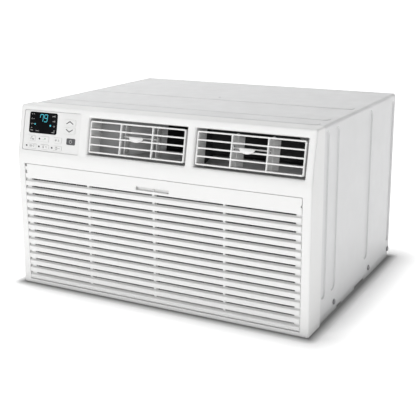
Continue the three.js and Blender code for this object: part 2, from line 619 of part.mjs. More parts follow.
unit.add(piece("evaporator_coil", finnedCoil(EVAPORATOR, 2), FIN_ALUMINIUM));
unit.add(piece("blower_scroll", blowerScroll(), DUCT_PLASTIC));
const blower = piece("blower_wheel", blowerWheel(), DARK_PLASTIC);
blower.position.set(AXIS.x, 0, AXIS.z);
unit.add(blower);
unit.add(piece("air_outlet_duct", outletDuct(), DUCT_PLASTIC));
unit.add(piece("bulkhead", cut(
  block(-301, 301, BULKHEAD_Y, BULKHEAD_Y + SHEET, PAN.floor + SHEET + GAP, WRAP.top - 6),
  rod("y", 20, BULKHEAD_Y - 1, BULKHEAD_Y + 3, AXIS.x, AXIS.z, 20),
  ...PIPE_PASSAGES.map(([x, z, radius]) =>
    rod("y", radius, BULKHEAD_Y - 1, BULKHEAD_Y + 3, x, z, 10))), ZINC_STEEL));

// ---------------------------------------------------------------- motor and outdoor side

function fanMotor() {
  const { radius, front, back } = MOTOR;
  const can = rod("y", radius, front + 14, back - 14, AXIS.x, AXIS.z, 28);
  const ends = rod("y", radius - 10, front, back, AXIS.x, AXIS.z, 28);
  return cut(join(can, ends), rod("y", SHAFT_RADIUS + 1.2, front - 1, back + 1, AXIS.x, AXIS.z, 20));
}

function motorBracket() {
  const reach = MOTOR.radius + 0.6;
  const floor = PAN.floor + SHEET + GAP;
  const y0 = 6;
  const y1 = 26;
  const yoke = cut(
    block(AXIS.x - reach - 8, AXIS.x + reach + 8, y0, y1, floor, AXIS.z),
    rod("y", reach, y0 - 1, y1 + 1, AXIS.x, AXIS.z, 28),
    block(AXIS.x - 40, AXIS.x + 40, y0 - 1, y1 + 1, floor + 8, AXIS.z - reach - 4),
  );
  const foot = block(AXIS.x - reach - 20, AXIS.x + reach + 20, -8, 40, floor, floor + 3);
  return join(yoke, foot);
}

function condenserFan() {
  const { hub, ring, ringWall, front, back, blades } = FAN;
  const hubBody = rod("y", hub, front - 6, back - 4, 0, 0, 20);
  const slinger = cut(rod("y", ring, front + 8, front + 18, 0, 0, 40),
    rod("y", ring - ringWall, front + 7, front + 19, 0, 0, 40));
  const sweep = Math.PI / 3.4;
  const bladeOutline = new THREE.Shape()
    .absarc(0, 0, ring - 1, Math.PI / 2 - sweep, Math.PI / 2 + sweep / 4)
    .absarc(0, 0, hub - 6, Math.PI / 2 + sweep / 3, Math.PI / 2 - sweep / 3, true);
  const petals = Array.from({ length: blades }, (_, i) =>
    prism(bladeOutline, "y", -1.2, 1.2, 5)
      .rotateZ(0.24)
      .translate(0, (front + back) / 2 - 1, 0)
      .rotateY((i * 2 * Math.PI) / blades));
  return cut(join(hubBody, slinger, ...petals), rod("y", SHAFT_RADIUS + 0.3, 0, 200, 0, 0, 16));
}

function fanShroud() {
  const { plate, ring, left, right, low, high } = SHROUD;
  const sheet = block(left, right, plate - 2, plate, low, high);
  const collar = rod("y", ring + 2, plate - 38, plate, AXIS.x, AXIS.z, 40);
  const hood = cut(
    block(left, right, plate - 2, CONDENSER.front - GAP, low, high),
    block(left + 2, right - 2, plate - 3, CONDENSER.front + 1, low + 2, high - 2),
  );
  return cut(join(sheet, collar, hood), rod("y", ring, plate - 40, plate + 1, AXIS.x, AXIS.z, 40));
}

const shaftRod = rod("y", SHAFT_RADIUS, BLOWER.front + 30, FAN.back + 4, AXIS.x, AXIS.z, 16);
const shaft = piece("motor_shaft", shaftRod,
  ZINC_STEEL);
unit.add(shaft);
unit.add(piece("fan_motor", fanMotor(), BLACK_STEEL));
unit.add(piece("motor_bracket", motorBracket(), ZINC_STEEL));
const fan = piece("condenser_fan", condenserFan(), DARK_PLASTIC);
fan.position.set(AXIS.x, 0, AXIS.z);
unit.add(fan);
unit.add(piece("fan_shroud", fanShroud(), DUCT_PLASTIC));
unit.add(piece("condenser_coil", finnedCoil(CONDENSER, 2), FIN_ALUMINIUM));

// ---------------------------------------------------------------- compressor and pipes

const grommetAngles = [90, 210, 330].map(THREE.MathUtils.degToRad);
const grommetPlace = (angle) => [
  COMPRESSOR.x + GROMMET.reach * Math.cos(angle), COMPRESSOR.y + GROMMET.reach * Math.sin(angle)];

function compressor() {
  const { x, y, radius, low, high } = COMPRESSOR;
  const can = turned([
    [0, low], [radius * 0.6, low + 3], [radius * 0.94, low + 14], [radius, low + 24], [radius, high - 26],
    [radius * 0.9, high - 10], [radius * 0.5, high], [0, high + 2],
  ], x, y, 28);
  const foot = rod("z", radius * 0.55, low - 3, low + 4, x, y, 20);
  const legs = grommetAngles.map((angle) =>
    block(0, GROMMET.reach + 14, -13, 13, low - 3, low).rotateZ(angle).translate(x, y, 0));
  const holes = grommetAngles.map((angle) => rod("z", 6.5, low - 4, low + 1, ...grommetPlace(angle), 12));
  const terminalBox = block(x - 20, x + 20, y - 18, y + 18, high - 6, high + 16);
  return cut(join(can, foot, ...legs, terminalBox), ...holes);
}

function grommet(angle) {
  const floor = PAN.floor + SHEET + GAP;
  const seat = COMPRESSOR.low - 3 - 0.3;
  const top = COMPRESSOR.low + 0.4;
  return turned([
    [0, floor], [GROMMET.radius, floor], [GROMMET.radius, seat], [6, seat], [6, top], [9, top], [9, top + 4],
    [0, top + 4],
  ], ...grommetPlace(angle), 14);
}

unit.add(piece("compressor", compressor(), BLACK_STEEL));
grommetAngles.forEach((angle, i) => unit.add(piece(`compressor_grommet_${i + 1}`, grommet(angle), RUBBER)));
unit.add(piece("suction_accumulator", turned([
  [0, ACCUMULATOR.low],
  [ACCUMULATOR.radius - 8, ACCUMULATOR.low + 2],
  [ACCUMULATOR.radius, ACCUMULATOR.low + 12],
  [ACCUMULATOR.radius, ACCUMULATOR.high - 12],
  [ACCUMULATOR.radius - 8, ACCUMULATOR.high - 2],
  [0, ACCUMULATOR.high],
], ACCUMULATOR.x, ACCUMULATOR.y, 16), BLACK_STEEL));

const { x: cx, y: cy, high: compressorTop } = COMPRESSOR;
const { x: ax, y: ay, low: accumulatorLow, high: accumulatorTop } = ACCUMULATOR;
unit.add(piece("discharge_pipe", pipe([
  [cx + 32, cy, compressorTop + 1], [cx + 32, cy, compressorTop + 34], [cx + 44, cy + 8, compressorTop + 62],
  [cx + 66, cy + 60, compressorTop + 66], [-156, 200, compressorTop + 60], [-148, 214, compressorTop + 50],
  [CONDENSER.left - 0.5, 214, compressorTop + 48],
], 4, 20), COPPER));
unit.add(piece("suction_pipe", pipe([
  [ax, ay, accumulatorTop + 0.5], [ax, ay, accumulatorTop + 20], [ax, ay - 5, 240], [ax, ay - 18, 251],
  [ax, BULKHEAD_Y, 252], [ax, BULKHEAD_Y - 16, 248], [ax - 8, BULKHEAD_Y - 30, 225], [ax - 18, -84, 160],
  [ax - 18, -130, 140],
  [ax - 12, -174, 138],
  [EVAPORATOR.left - 8, -182, 138],
  [EVAPORATOR.left - 0.5, -182, 138],
], 4.5, 28), COPPER));
unit.add(piece("accumulator_outlet_pipe", pipe([
  [ax, ay, accumulatorLow - 0.5], [ax, ay, accumulatorLow - 18], [ax, ay + 8, accumulatorLow - 26],
  [ax, cy - COMPRESSOR.radius - 8, accumulatorLow - 26],
  [ax, cy - COMPRESSOR.radius - 0.5, accumulatorLow - 26],
], 4.5, 12), COPPER));

// Capillary tube: a few tight turns between the condenser's outlet and the evaporator's inlet.
function capillaryTube() {
  const turns = 3;
  const perTurn = 10;
  const coil = Array.from({ length: turns * perTurn + 1 }, (_, i) => {
    const angle = (i / perTurn) * 2 * Math.PI;
    return [-158 + 15 * Math.cos(angle), 6 + 15 * Math.sin(angle), 84 + (i / perTurn) * 8];
  });
  const toEvaporator = [
    [-158, -20, 110], [-168, -32, 112], [-172, BULKHEAD_Y, 112], [-176, -60, 106], [-194, -100, 78],
    [-210, -145, 54], [-211, -172, 48], [-206, -182, 48],
  ];
  return pipe([
    [CONDENSER.left - 0.5, 214, 60], [-146, 208, 60], [-148, 130, 66], [-142, 60, 80], ...coil.slice(0, -2),
    ...toEvaporator, [EVAPORATOR.left - 0.8, -182, 48],
  ], 1.8, 60);
}

unit.add(piece("capillary_tube", capillaryTube(), COPPER));

// ---------------------------------------------------------------- electrics

function controlBox() {
  const outer = block(-300, -158, -178, -60, 258, 350);
  const inner = block(-300 + SHEET, -158 - SHEET, -180, -60 - SHEET, 258 + SHEET, 350 - SHEET);
  return cut(outer, inner);
}

unit.add(piece("control_box", controlBox(), ZINC_STEEL));
unit.add(piece("run_capacitor", rod("y", 21, -150, -76, -230, 282, 20), finish("#8d9296", 0.4, 0.7)));

export default unit;
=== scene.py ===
"""The finished look of a window air conditioner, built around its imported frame.

Every operator makes one piece, or one group of like pieces, in metres and where the frame holds it.
A drawing has x across, y up and z out of the surface it is laid on.
"""

import json
import math

import bmesh
import bpy
from bpy.props import FloatProperty, FloatVectorProperty, IntProperty, PointerProperty
from bpy.types import Operator, Panel, PropertyGroup
from mathutils import Matrix, Vector


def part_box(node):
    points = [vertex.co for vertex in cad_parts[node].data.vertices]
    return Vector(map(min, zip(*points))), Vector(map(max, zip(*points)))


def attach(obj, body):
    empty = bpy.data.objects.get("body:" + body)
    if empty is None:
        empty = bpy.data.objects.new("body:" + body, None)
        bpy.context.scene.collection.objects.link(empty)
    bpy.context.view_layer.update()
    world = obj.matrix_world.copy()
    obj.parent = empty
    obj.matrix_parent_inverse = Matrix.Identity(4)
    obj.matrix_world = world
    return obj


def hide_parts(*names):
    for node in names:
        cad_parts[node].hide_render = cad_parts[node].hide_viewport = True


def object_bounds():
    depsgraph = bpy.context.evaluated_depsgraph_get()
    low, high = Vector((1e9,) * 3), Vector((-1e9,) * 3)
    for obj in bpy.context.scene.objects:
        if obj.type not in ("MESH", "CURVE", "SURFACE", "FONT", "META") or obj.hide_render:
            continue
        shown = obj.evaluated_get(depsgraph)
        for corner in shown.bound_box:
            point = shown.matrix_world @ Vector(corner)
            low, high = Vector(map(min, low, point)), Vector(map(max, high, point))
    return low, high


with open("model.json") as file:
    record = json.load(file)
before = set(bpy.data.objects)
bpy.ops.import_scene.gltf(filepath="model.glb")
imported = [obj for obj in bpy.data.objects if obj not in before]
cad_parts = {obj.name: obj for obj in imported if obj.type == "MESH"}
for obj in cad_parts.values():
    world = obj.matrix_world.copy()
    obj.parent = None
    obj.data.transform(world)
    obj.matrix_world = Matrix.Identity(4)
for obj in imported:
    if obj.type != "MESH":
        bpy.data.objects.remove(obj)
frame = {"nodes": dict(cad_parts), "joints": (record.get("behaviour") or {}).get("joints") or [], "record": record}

bl_info = {
    "name": "Window Air Conditioner",
    "version": (1, 0, 0),
    "blender": (4, 5, 0),
    "location": "View3D > Sidebar > Air Conditioner",
    "description": "Builds the finished pieces of a window air conditioner on its packed frame",
    "category": "Object",
}

CAD_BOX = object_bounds()
MM = 0.001
RIB_HIGH = 1.1 * MM

# ---------------------------------------------------------------- places taken from the frame

JOINTS = {joint["name"]: joint for joint in frame["joints"]}
BODY_OF = {
    node: body for body, nodes in frame["record"]["behaviour"]["bodies"].items() for node in nodes
}
SLOT_OF = {part["node"]: part["material_slot"] for part in frame["record"]["subparts"]}
BEZEL_LOW, BEZEL_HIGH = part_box("front_bezel")
WRAP_LOW, WRAP_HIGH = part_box("cabinet_wrap")
WRAP_HIGH = WRAP_HIGH - Vector((0, 0, RIB_HIGH))    # the sheet, under its raised ribs
DOOR_LOW, DOOR_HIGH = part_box("intake_grille")
FRONT = BEZEL_LOW.y
ROOT_BODY = "cabinet"


def plane(across, up, origin):
    """Matrix that lays a drawing on the object: x along across, y along up, z out of the surface."""
    across, up = Vector(across), Vector(up)
    turned = Matrix((across, up, across.cross(up))).transposed().to_4x4()
    return Matrix.Translation(origin) @ turned


BEND_HEIGHT = 265 * MM
INWARDS = Vector(JOINTS["up_button_press"]["axis"])
UP_THE_FACE = Vector(JOINTS["left_vane_1_swing"]["axis"])
LEANING = plane((1, 0, 0), UP_THE_FACE, (0, FRONT, BEND_HEIGHT))
UPRIGHT = plane((1, 0, 0), (0, 0, 1), (0, FRONT, 0))
RIGHT_SIDE = plane((0, 1, 0), (0, 0, 1), (WRAP_HIGH.x, 0, 0))
TOP_SIDE = plane((1, 0, 0), (0, 1, 0), (0, 0, WRAP_HIGH.z))
MIRRORED = Matrix.Diagonal((-1, 1, 1, 1))


def drawn_box(node, place):
    """Lowest and highest corner of a node in the axes of a drawing."""
    back = place.inverted()
    points = [back @ vertex.co for vertex in frame["nodes"][node].data.vertices]
    low = Vector([min(point[axis] for point in points) for axis in range(3)])
    high = Vector([max(point[axis] for point in points) for axis in range(3)])
    return low, high


# ---------------------------------------------------------------- sizes that no box in the frame gives

GROOVE = {"count": 14, "pitch": 14.95 * MM, "first": 17.65 * MM, "front": 6.6 * MM,
          "slot_low": 2.9 * MM, "slot_high": 5.9 * MM, "deep": 4.5 * MM}
RECESS = {"half": 35 * MM, "low": 223.5 * MM, "high": 230 * MM, "deep": 8.5 * MM}
SLOT_END = 279 * MM
RIB_HALF = 2.5 * MM
RIBS = (-144 * MM, 0, 144 * MM)
DOOR_THICK = 12 * MM
DOOR_GAP = 0.6 * MM
OUTLET = {"half": 107 * MM, "low": 10.5 * MM, "high": 85 * MM, "deep": 36 * MM}
OUTLET_RIM_PAST = 2.4 * MM     # how far the rolled rim reaches past the opening
LOUVRE = {"half": 102 * MM, "tall": 30 * MM, "rim": 2.8 * MM, "front": 1 * MM, "back": 29 * MM}
VANE = {"x": 34 * MM, "pivot_in": 24 * MM, "fore": 11 * MM, "aft": 18 * MM, "thick": 1.8 * MM,
        "tall": 26.5 * MM, "link_radius": 9 * MM}
VANES_SWUNG = {"left": math.radians(17), "right": math.radians(-18)}
LINK = {"low": 4.8 * MM, "high": 7.2 * MM, "wide": 6 * MM}
FLANGE = 1.2 * MM
CHANNEL_DEEP = 2.4 * MM
SIDE_CHANNELS = ((-179, -157, 45, 350), (-132, -105, 45, 350), (60, 87, 45, 350), (217, 234, 40, 346))
TOP_RIBS = ((-180, -158), (-131, -108))
SCALLOP = {"low": -2 * MM, "high": 20 * MM, "y": 14 * MM, "radius": 20 * MM, "hole": 2.5 * MM,
           "hole_y": 27 * MM}
TOP_RIB_HALF = 292 * MM
CORD_HOLE = {"y": -214 * MM, "z": 52 * MM, "radius": 9.3 * MM}
WRAP_CORNER = 6 * MM
WRAP_FLANGE = 9 * MM

# ---------------------------------------------------------------- finishes


def node(tree, kind, inputs=None, **settings):
    """A shader node with its settings and its unlinked inputs given."""
    made = tree.nodes.new(kind)
    for name, value in settings.items():
        setattr(made, name, value)
    for name, value in (inputs or {}).items():
        made.inputs[name].default_value = value
    return made


def blended(tree, factor, first, second):
    """A colour between two others; each may be a socket or a plain colour."""
    mix = node(tree, "ShaderNodeMix", data_type="RGBA", blend_type="MIX", clamp_factor=True)
    for socket, value in ((mix.inputs[0], factor), (mix.inputs[6], first), (mix.inputs[7], second)):
        if isinstance(value, bpy.types.NodeSocket):
            tree.links.new(value, socket)
        else:
            socket.default_value = value
    return mix.outputs[2]


def mapped(tree, value, low, high, to_low, to_high):
    """A value moved from one range to another."""
    change = node(tree, "ShaderNodeMapRange", {
        "From Min": low, "From Max": high, "To Min": to_low, "To Max": to_high})
    tree.links.new(value, change.inputs["Value"])
    return change.outputs["Result"]


def noise(tree, where, scale, detail=3.0, rough=0.55):
    """Noise over the object's own coordinates."""
    made = node(tree, "ShaderNodeTexNoise", {"Scale": scale, "Detail": detail, "Roughness": rough})
    tree.links.new(where, made.inputs["Vector"])
    return made.outputs["Fac"]


def rgba(colour):
    return (*colour[:3], 1.0)


def shade(colour, share):
    return tuple(channel * share for channel in colour[:3])


def edge_mask(tree, radius):
    """1 along convex and concave edges, 0 on flat ground."""
    rounded = node(tree, "ShaderNodeBevel", {"Radius": radius}, samples=4)
    true = node(tree, "ShaderNodeNewGeometry")
    dot = node(tree, "ShaderNodeVectorMath", operation="DOT_PRODUCT")
    tree.links.new(rounded.outputs["Normal"], dot.inputs[0])
    tree.links.new(true.outputs["Normal"], dot.inputs[1])
    return mapped(tree, dot.outputs["Value"], 0.99, 0.8, 0.0, 1.0)


def surface(name, colour, roughness, *, metallic=0.0, spread=0.06, tint=None, tint_share=0.5,
            grain=2200, grain_deep=0.03, broad=7, edge_wear_and_shade=None, edge_share=0.5, crevice_shade=0.0, stretch=(1, 1, 1),
            pattern=None, sockets=None):
    """A finish with broad colour drift, uneven gloss, fine relief, painted shade in the corners and coloured
    edges: rubbed and lighter on most finishes, darkened as painted shade on the painted steel.
    """
    material = bpy.data.materials.new(name)
    material.use_nodes = True
    tree = material.node_tree
    principled = tree.nodes["Principled BSDF"]
    principled.inputs["Metallic"].default_value = metallic
    for socket, value in (sockets or {}).items():
        principled.inputs[socket].default_value = value
    coordinates = node(tree, "ShaderNodeTexCoord")
    mapping = node(tree, "ShaderNodeMapping", {"Scale": stretch})
    tree.links.new(coordinates.outputs["Object"], mapping.inputs["Vector"])
    where = mapping.outputs["Vector"]

    drift = mapped(tree, noise(tree, where, broad, 4), 0.35, 0.7, 0.0, tint_share)
    colour_now = blended(tree, drift, rgba(colour), rgba(tint or shade(colour, 0.93)))
    gloss = mapped(tree, noise(tree, where, 38, 5), 0.3, 0.7, roughness - spread, roughness + spread)
    relief = noise(tree, where, grain, 2)
    if pattern:
        colour_now, relief = pattern(tree, where, colour_now, relief)
    # Painted shade: the colour darkens towards a dark copy of itself where the occlusion node finds geometry near,
    # in corners, creases and recesses.
    if crevice_shade:
        corner = node(tree, "ShaderNodeAmbientOcclusion", {"Distance": 9 * MM}, samples=6)
        share = mapped(tree, corner.outputs["AO"], 0.35, 0.95, crevice_shade, 0.0)
        colour_now = blended(tree, share, colour_now, rgba(shade(colour, 0.32)))
    # Edges take the edge colour: rubbed and lighter on most finishes; on the painted steel a darker copy of the
    # paint, painted shade along edges and creases.
    if edge_wear_and_shade:
        patchy = mapped(tree, noise(tree, where, 90, 4), 0.45, 0.62, 0.0, edge_share)
        edge_amount = node(tree, "ShaderNodeMath", operation="MULTIPLY")
        tree.links.new(edge_mask(tree, 0.9 * MM), edge_amount.inputs[0])
        tree.links.new(patchy, edge_amount.inputs[1])
        colour_now = blended(tree, edge_amount.outputs["Value"], colour_now, rgba(edge_wear_and_shade))
    bump = node(tree, "ShaderNodeBump", {"Strength": grain_deep, "Distance": 0.2 * MM})
    tree.links.new(relief, bump.inputs["Height"])
    tree.links.new(bump.outputs["Normal"], principled.inputs["Normal"])
    tree.links.new(gloss, principled.inputs["Roughness"])
    tree.links.new(colour_now, principled.inputs["Base Color"])
    return material


def orange_peel(tree, where, colour, relief):
    """Sprayed paint: a slow ripple under the fine grain."""
    ripple = noise(tree, where, 420, 1)
    both = node(tree, "ShaderNodeMath", operation="ADD")
    tree.links.new(relief, both.inputs[0])
    tree.links.new(ripple, both.inputs[1])
    return colour, both.outputs["Value"]


def spangle(tree, where, colour, relief):
    """Zinc crystals, each with its own grey."""
    crystals = node(tree, "ShaderNodeTexVoronoi", {"Scale": 190, "Randomness": 1.0})
    tree.links.new(where, crystals.inputs["Vector"])
    grey = node(tree, "ShaderNodeSeparateColor")
    tree.links.new(crystals.outputs["Color"], grey.inputs["Color"])
    share = mapped(tree, grey.outputs[0], 0, 1, 0, 0.4)
    return blended(tree, share, colour, rgba((0.86, 0.88, 0.9))), relief


def brushed(tree, where, colour, relief):
    """Fine lines drawn along the metal."""
    lines = noise(tree, where, 900, 2, 0.7)
    share = mapped(tree, lines, 0.35, 0.65, 0, 0.35)
    return blended(tree, share, colour, rgba((0.92, 0.93, 0.94))), lines


def tracks(tree, where, colour, relief):
    """Copper tracks under the solder mask."""
    cells = node(tree, "ShaderNodeTexBrick", {
        "Scale": 90, "Mortar Size": 0.12, "Color1": rgba((0, 0, 0)), "Color2": rgba((0, 0, 0)),
        "Mortar": rgba((1, 1, 1))})
    tree.links.new(where, cells.inputs["Vector"])
    lines = node(tree, "ShaderNodeSeparateColor")
    tree.links.new(cells.outputs["Color"], lines.inputs["Color"])
    shown = mapped(tree, lines.outputs[0], 0, 1, 0, 0.6)
    return blended(tree, shown, colour, rgba((0.2, 0.42, 0.16))), lines.outputs[0]


def make_finish(slot_name):
    """The material of one slot."""
    colours = bpy.context.scene.ac_colours
    plastic, paint = tuple(colours.plastic), tuple(colours.paint)
    # Each finish's occlusion darkening below is painted shade in its corners and creases.
    makers = {
        "white_plastic": lambda: surface(
            "white_plastic", plastic, 0.42, tint=shade(plastic, 0.975), crevice_shade=0.12, grain_deep=0.05,
            spread=0.05, sockets={"Specular IOR Level": 0.45}),
        "button_plastic": lambda: surface(
            "button_plastic", shade(plastic, 0.97), 0.36, tint=shade(plastic, 0.93), crevice_shade=0.12, grain=2600,
            grain_deep=0.04, edge_wear_and_shade=shade(plastic, 1.0), sockets={"Specular IOR Level": 0.45}),
        "dark_plastic": lambda: surface(
            "dark_plastic", tuple(colours.dark_plastic), 0.46, tint=(0.09, 0.09, 0.095), crevice_shade=0.3,
            edge_wear_and_shade=(0.22, 0.22, 0.23), grain_deep=0.08),
        "filter_net": lambda: surface(
            "filter_net", (0.045, 0.048, 0.052), 0.75, tint=(0.11, 0.105, 0.1), broad=30, grain_deep=0.2,
            sockets={"Sheen Weight": 0.15}),
        "display_glass": lambda: surface(
            "display_glass", (0.002, 0.0022, 0.003), 0.16, tint=(0.004, 0.0045, 0.006), spread=0.04,
            grain_deep=0.004, sockets={"Specular IOR Level": 0.12}),
        "smoked_plastic": lambda: surface(
            "smoked_plastic", (0.012, 0.012, 0.011), 0.2, tint=(0.03, 0.028, 0.024), spread=0.05,
            grain_deep=0.01, sockets={"Coat Weight": 0.3}),
        "circuit_board": lambda: surface(
            "circuit_board", (0.015, 0.1, 0.035), 0.4, tint=(0.01, 0.07, 0.03), pattern=tracks,
            grain_deep=0.3),
        "duct_plastic": lambda: surface(
            "duct_plastic", tuple(colours.duct), 0.62, tint=shade(colours.duct, 0.75), crevice_shade=0.35, grain=900,
            grain_deep=0.25, edge_wear_and_shade=shade(colours.duct, 1.5)),
        "guide_plastic": lambda: surface(
            "guide_plastic", tuple(colours.guide), 0.6, tint=shade(colours.guide, 0.8), crevice_shade=0.3, grain=900,
            grain_deep=0.2, edge_wear_and_shade=shade(colours.guide, 1.2)),
        # Painted shade on the cabinet: darker paint along every edge and crease, and the occlusion darkening in
        # the corners.
        "painted_steel": lambda: surface(
            "painted_steel", paint, 0.4, tint=shade(paint, 0.96), crevice_shade=0.42, pattern=orange_peel, grain=1500,
            grain_deep=0.06, spread=0.07, edge_wear_and_shade=shade(paint, 0.6), edge_share=0.35,
            sockets={"Specular IOR Level": 0.5}),
        "zinc_steel": lambda: surface(
            "zinc_steel", (0.56, 0.58, 0.6), 0.4, metallic=0.85, tint=(0.44, 0.46, 0.48), pattern=spangle,
            crevice_shade=0.35, edge_wear_and_shade=(0.8, 0.81, 0.83), spread=0.1, grain_deep=0.06),
        "fin_aluminium": lambda: surface(
            "fin_aluminium", (0.7, 0.72, 0.74), 0.42, metallic=0.9, tint=(0.52, 0.54, 0.56), crevice_shade=0.6,
            pattern=brushed, stretch=(1, 1, 0.08), grain_deep=0.06),
        "copper": lambda: surface(
            "copper", (0.72, 0.32, 0.17), 0.3, metallic=1.0, tint=(0.4, 0.17, 0.1), tint_share=0.9, broad=30,
            edge_wear_and_shade=(0.9, 0.5, 0.32), crevice_shade=0.3, spread=0.12),
        "black_enamel": lambda: surface(
            "black_enamel", (0.012, 0.0125, 0.014), 0.38, tint=(0.03, 0.03, 0.03), pattern=orange_peel,
            edge_wear_and_shade=(0.16, 0.16, 0.165), crevice_shade=0.2, grain_deep=0.12, sockets={"Coat Weight": 0.25}),
        "rubber": lambda: surface(
            "rubber", (0.018, 0.018, 0.018), 0.8, tint=(0.05, 0.048, 0.045), grain=700, grain_deep=0.3,
            edge_wear_and_shade=(0.08, 0.078, 0.075)),
        "screw_steel": lambda: surface(
            "screw_steel", (0.3, 0.3, 0.31), 0.3, metallic=0.9, tint=(0.16, 0.16, 0.17), broad=300,
            edge_wear_and_shade=(0.75, 0.75, 0.77), crevice_shade=0.6, spread=0.12),
        "capacitor_can": lambda: surface(
            "capacitor_can", (0.6, 0.61, 0.63), 0.3, metallic=0.9, tint=(0.45, 0.46, 0.48), pattern=brushed,
            stretch=(1, 0.06, 1), edge_wear_and_shade=(0.85, 0.85, 0.87)),
        "print_grey": lambda: surface(
            "print_grey", tuple(colours.key_print), 0.5, tint=shade(colours.key_print, 1.6), grain=3000,
            broad=400),
        "print_green": lambda: surface(
            "print_green", tuple(colours.saver_print), 0.5, tint=shade(colours.saver_print, 1.4), grain=3000,
            broad=400),
        # Painted glow: the pale print is given a faint emission, though it is print and no lamp.
        "pale_print_painted_glow": lambda: surface(
            "pale_print_painted_glow", (0.42, 0.42, 0.41), 0.5, tint=(0.24, 0.24, 0.24), grain=3000, broad=400,
            sockets={"Emission Strength": 0.12, "Emission Color": (0.7, 0.7, 0.68, 1)}),
        "display_light": lambda: surface(
            "display_light", (0.01, 0.09, 0.11), 0.3, tint=(0.01, 0.12, 0.1), broad=300,
            sockets={"Emission Strength": 1.0, "Emission Color": rgba(tuple(colours.display_light))}),
    }
    return makers[slot_name]()


FINISHES = {}


def finish(slot_name):
    if slot_name not in FINISHES:
        FINISHES[slot_name] = make_finish(slot_name)
    return FINISHES[slot_name]


# ---------------------------------------------------------------- modelling helpers


def absorb(bm, part, *places):
    """Adds a copy of part to bm at each place, and frees part."""
    mesh = bpy.data.meshes.new("part")
    part.to_mesh(mesh)
    part.free()
    for place in places or (Matrix(),):
        verts, faces = set(bm.verts), set(bm.faces)
        bm.from_mesh(mesh)
        bmesh.ops.transform(bm, matrix=place, verts=[vert for vert in bm.verts if vert not in verts])
        if place.determinant() < 0:
            bmesh.ops.reverse_faces(bm, faces=[face for face in bm.faces if face not in faces])
    bpy.data.meshes.remove(mesh)
    return bm


def bevelled(bm, edges, width, segments=2):
    """Rounds edges to a width."""
    bmesh.ops.bevel(bm, geom=list(edges), offset=width, offset_type="OFFSET", segments=segments, profile=0.5,
                    affect="EDGES", clamp_overlap=True, material=-1)


def sharp_edges(bm, degrees=35):
    limit = math.radians(degrees)
    return [edge for edge in bm.edges if len(edge.link_faces) == 2 and edge.calc_face_angle() > limit]


def bar(low, high, edge=0.0, segments=2):
    """A closed block with rounded edges."""
    bm = bmesh.new()
    low, high = Vector(low), Vector(high)
    bmesh.ops.create_cube(bm, size=1)
    bmesh.ops.scale(bm, verts=bm.verts, vec=high - low)
    bmesh.ops.translate(bm, verts=bm.verts, vec=(low + high) / 2)
    if edge:
        bevelled(bm, bm.edges, edge, segments)
    return bm


def post(radius, length, edge=0.0, sides=20):
    """A closed round bar along z from the drawing plane, with softened ends."""
    bm = bmesh.new()
    bmesh.ops.create_cone(bm, cap_ends=True, segments=sides, radius1=radius, radius2=radius, depth=length)
    bmesh.ops.translate(bm, verts=bm.verts, vec=(0, 0, length / 2))
    if edge:
        bevelled(bm, sharp_edges(bm, 60), edge)
    return bm


def outline_face(bm, left, right, low, high, corner=0.0, segments=5):
    """A flat rectangle in the drawing plane with rounded corners, facing out."""
    bmesh.ops.create_grid(bm, x_segments=1, y_segments=1, size=0.5)
    bmesh.ops.scale(bm, verts=bm.verts, vec=(right - left, high - low, 1))
    bmesh.ops.translate(bm, verts=bm.verts, vec=((left + right) / 2, (low + high) / 2, 0))
    if corner:
        bmesh.ops.bevel(bm, geom=list(bm.verts), offset=corner, offset_type="OFFSET", segments=segments,
                        profile=0.5, affect="VERTICES", clamp_overlap=True, material=-1)
    return faced(bm, Vector((0, 0, 1)))


def faced(bm, direction):
    """The largest face, turned to look in a direction."""
    bm.normal_update()
    face = max(bm.faces, key=lambda candidate: candidate.calc_area())
    if face.normal.dot(direction) < 0:
        bmesh.ops.reverse_faces(bm, faces=[face])
    return face


def stepped(bm, face, steps):
    """Insets a face again and again by (inwards, out of the surface)."""
    for inwards, outwards in steps:
        bmesh.ops.inset_region(bm, faces=[face], thickness=inwards, depth=outwards, use_even_offset=True,
                               use_boundary=True)
    return face


def quarter(radius, count=3):
    """Steps that roll a surface over a quarter circle, into the hole."""
    turns = [math.pi / 2 * step / count for step in range(count + 1)]
    return [
        (radius * (math.sin(after) - math.sin(before)), -radius * (math.cos(before) - math.cos(after)))
        for before, after in zip(turns, turns[1:])
    ]


def sunk(bm, face, deep):
    """Pushes a face straight in, leaving walls behind it."""
    bm.normal_update()
    normal = face.normal.copy()
    pushed = bmesh.ops.extrude_face_region(bm, geom=[face])["geom"]
    verts = [item for item in pushed if isinstance(item, bmesh.types.BMVert)]
    bmesh.ops.translate(bm, verts=verts, vec=-normal * deep)
    if face.is_valid:
        bmesh.ops.delete(bm, geom=[face], context="FACES_ONLY")
    return next(item for item in pushed if isinstance(item, bmesh.types.BMFace))


def hole(left, right, low, high, corner, lip, deep, bottom=False, segments=4):
    """An opening whose rim rolls in over a lip and runs on as a tunnel, with or without a bottom."""
    bm = bmesh.new()
    face = outline_face(bm, left - lip, right + lip, low - lip, high + lip, corner + lip, segments)
    stepped(bm, face, quarter(lip))
    end = sunk(bm, face, deep)
    if not bottom:
        bmesh.ops.delete(bm, geom=[end], context="FACES_ONLY")
    return bm


def round_hole(x, y, radius, lip, deep, sides=24):
    bm = bmesh.new()
    bmesh.ops.create_circle(bm, cap_ends=True, segments=sides, radius=radius + lip)
    bmesh.ops.translate(bm, verts=bm.verts, vec=(x, y, 0))
    face = faced(bm, Vector((0, 0, 1)))
    stepped(bm, face, quarter(lip, 2))
    bmesh.ops.delete(bm, geom=[sunk(bm, face, deep)], context="FACES_ONLY")
    return bm


def pressing_face(bm, face, deep, slope, count=5):
    """Presses a face into the sheet over a smooth S-shaped wall, and gives the face back."""
    shares = [(step / count) ** 2 * (3 - 2 * step / count) for step in range(count + 1)]
    steps = [(slope / count, -deep * (after - before)) for before, after in zip(shares, shares[1:])]
    stepped(bm, face, steps)
    return face


def pressing(bm, face, deep, slope, count=5):
    """The drawing itself, once its face has been pressed."""
    pressing_face(bm, face, deep, slope, count)
    return bm


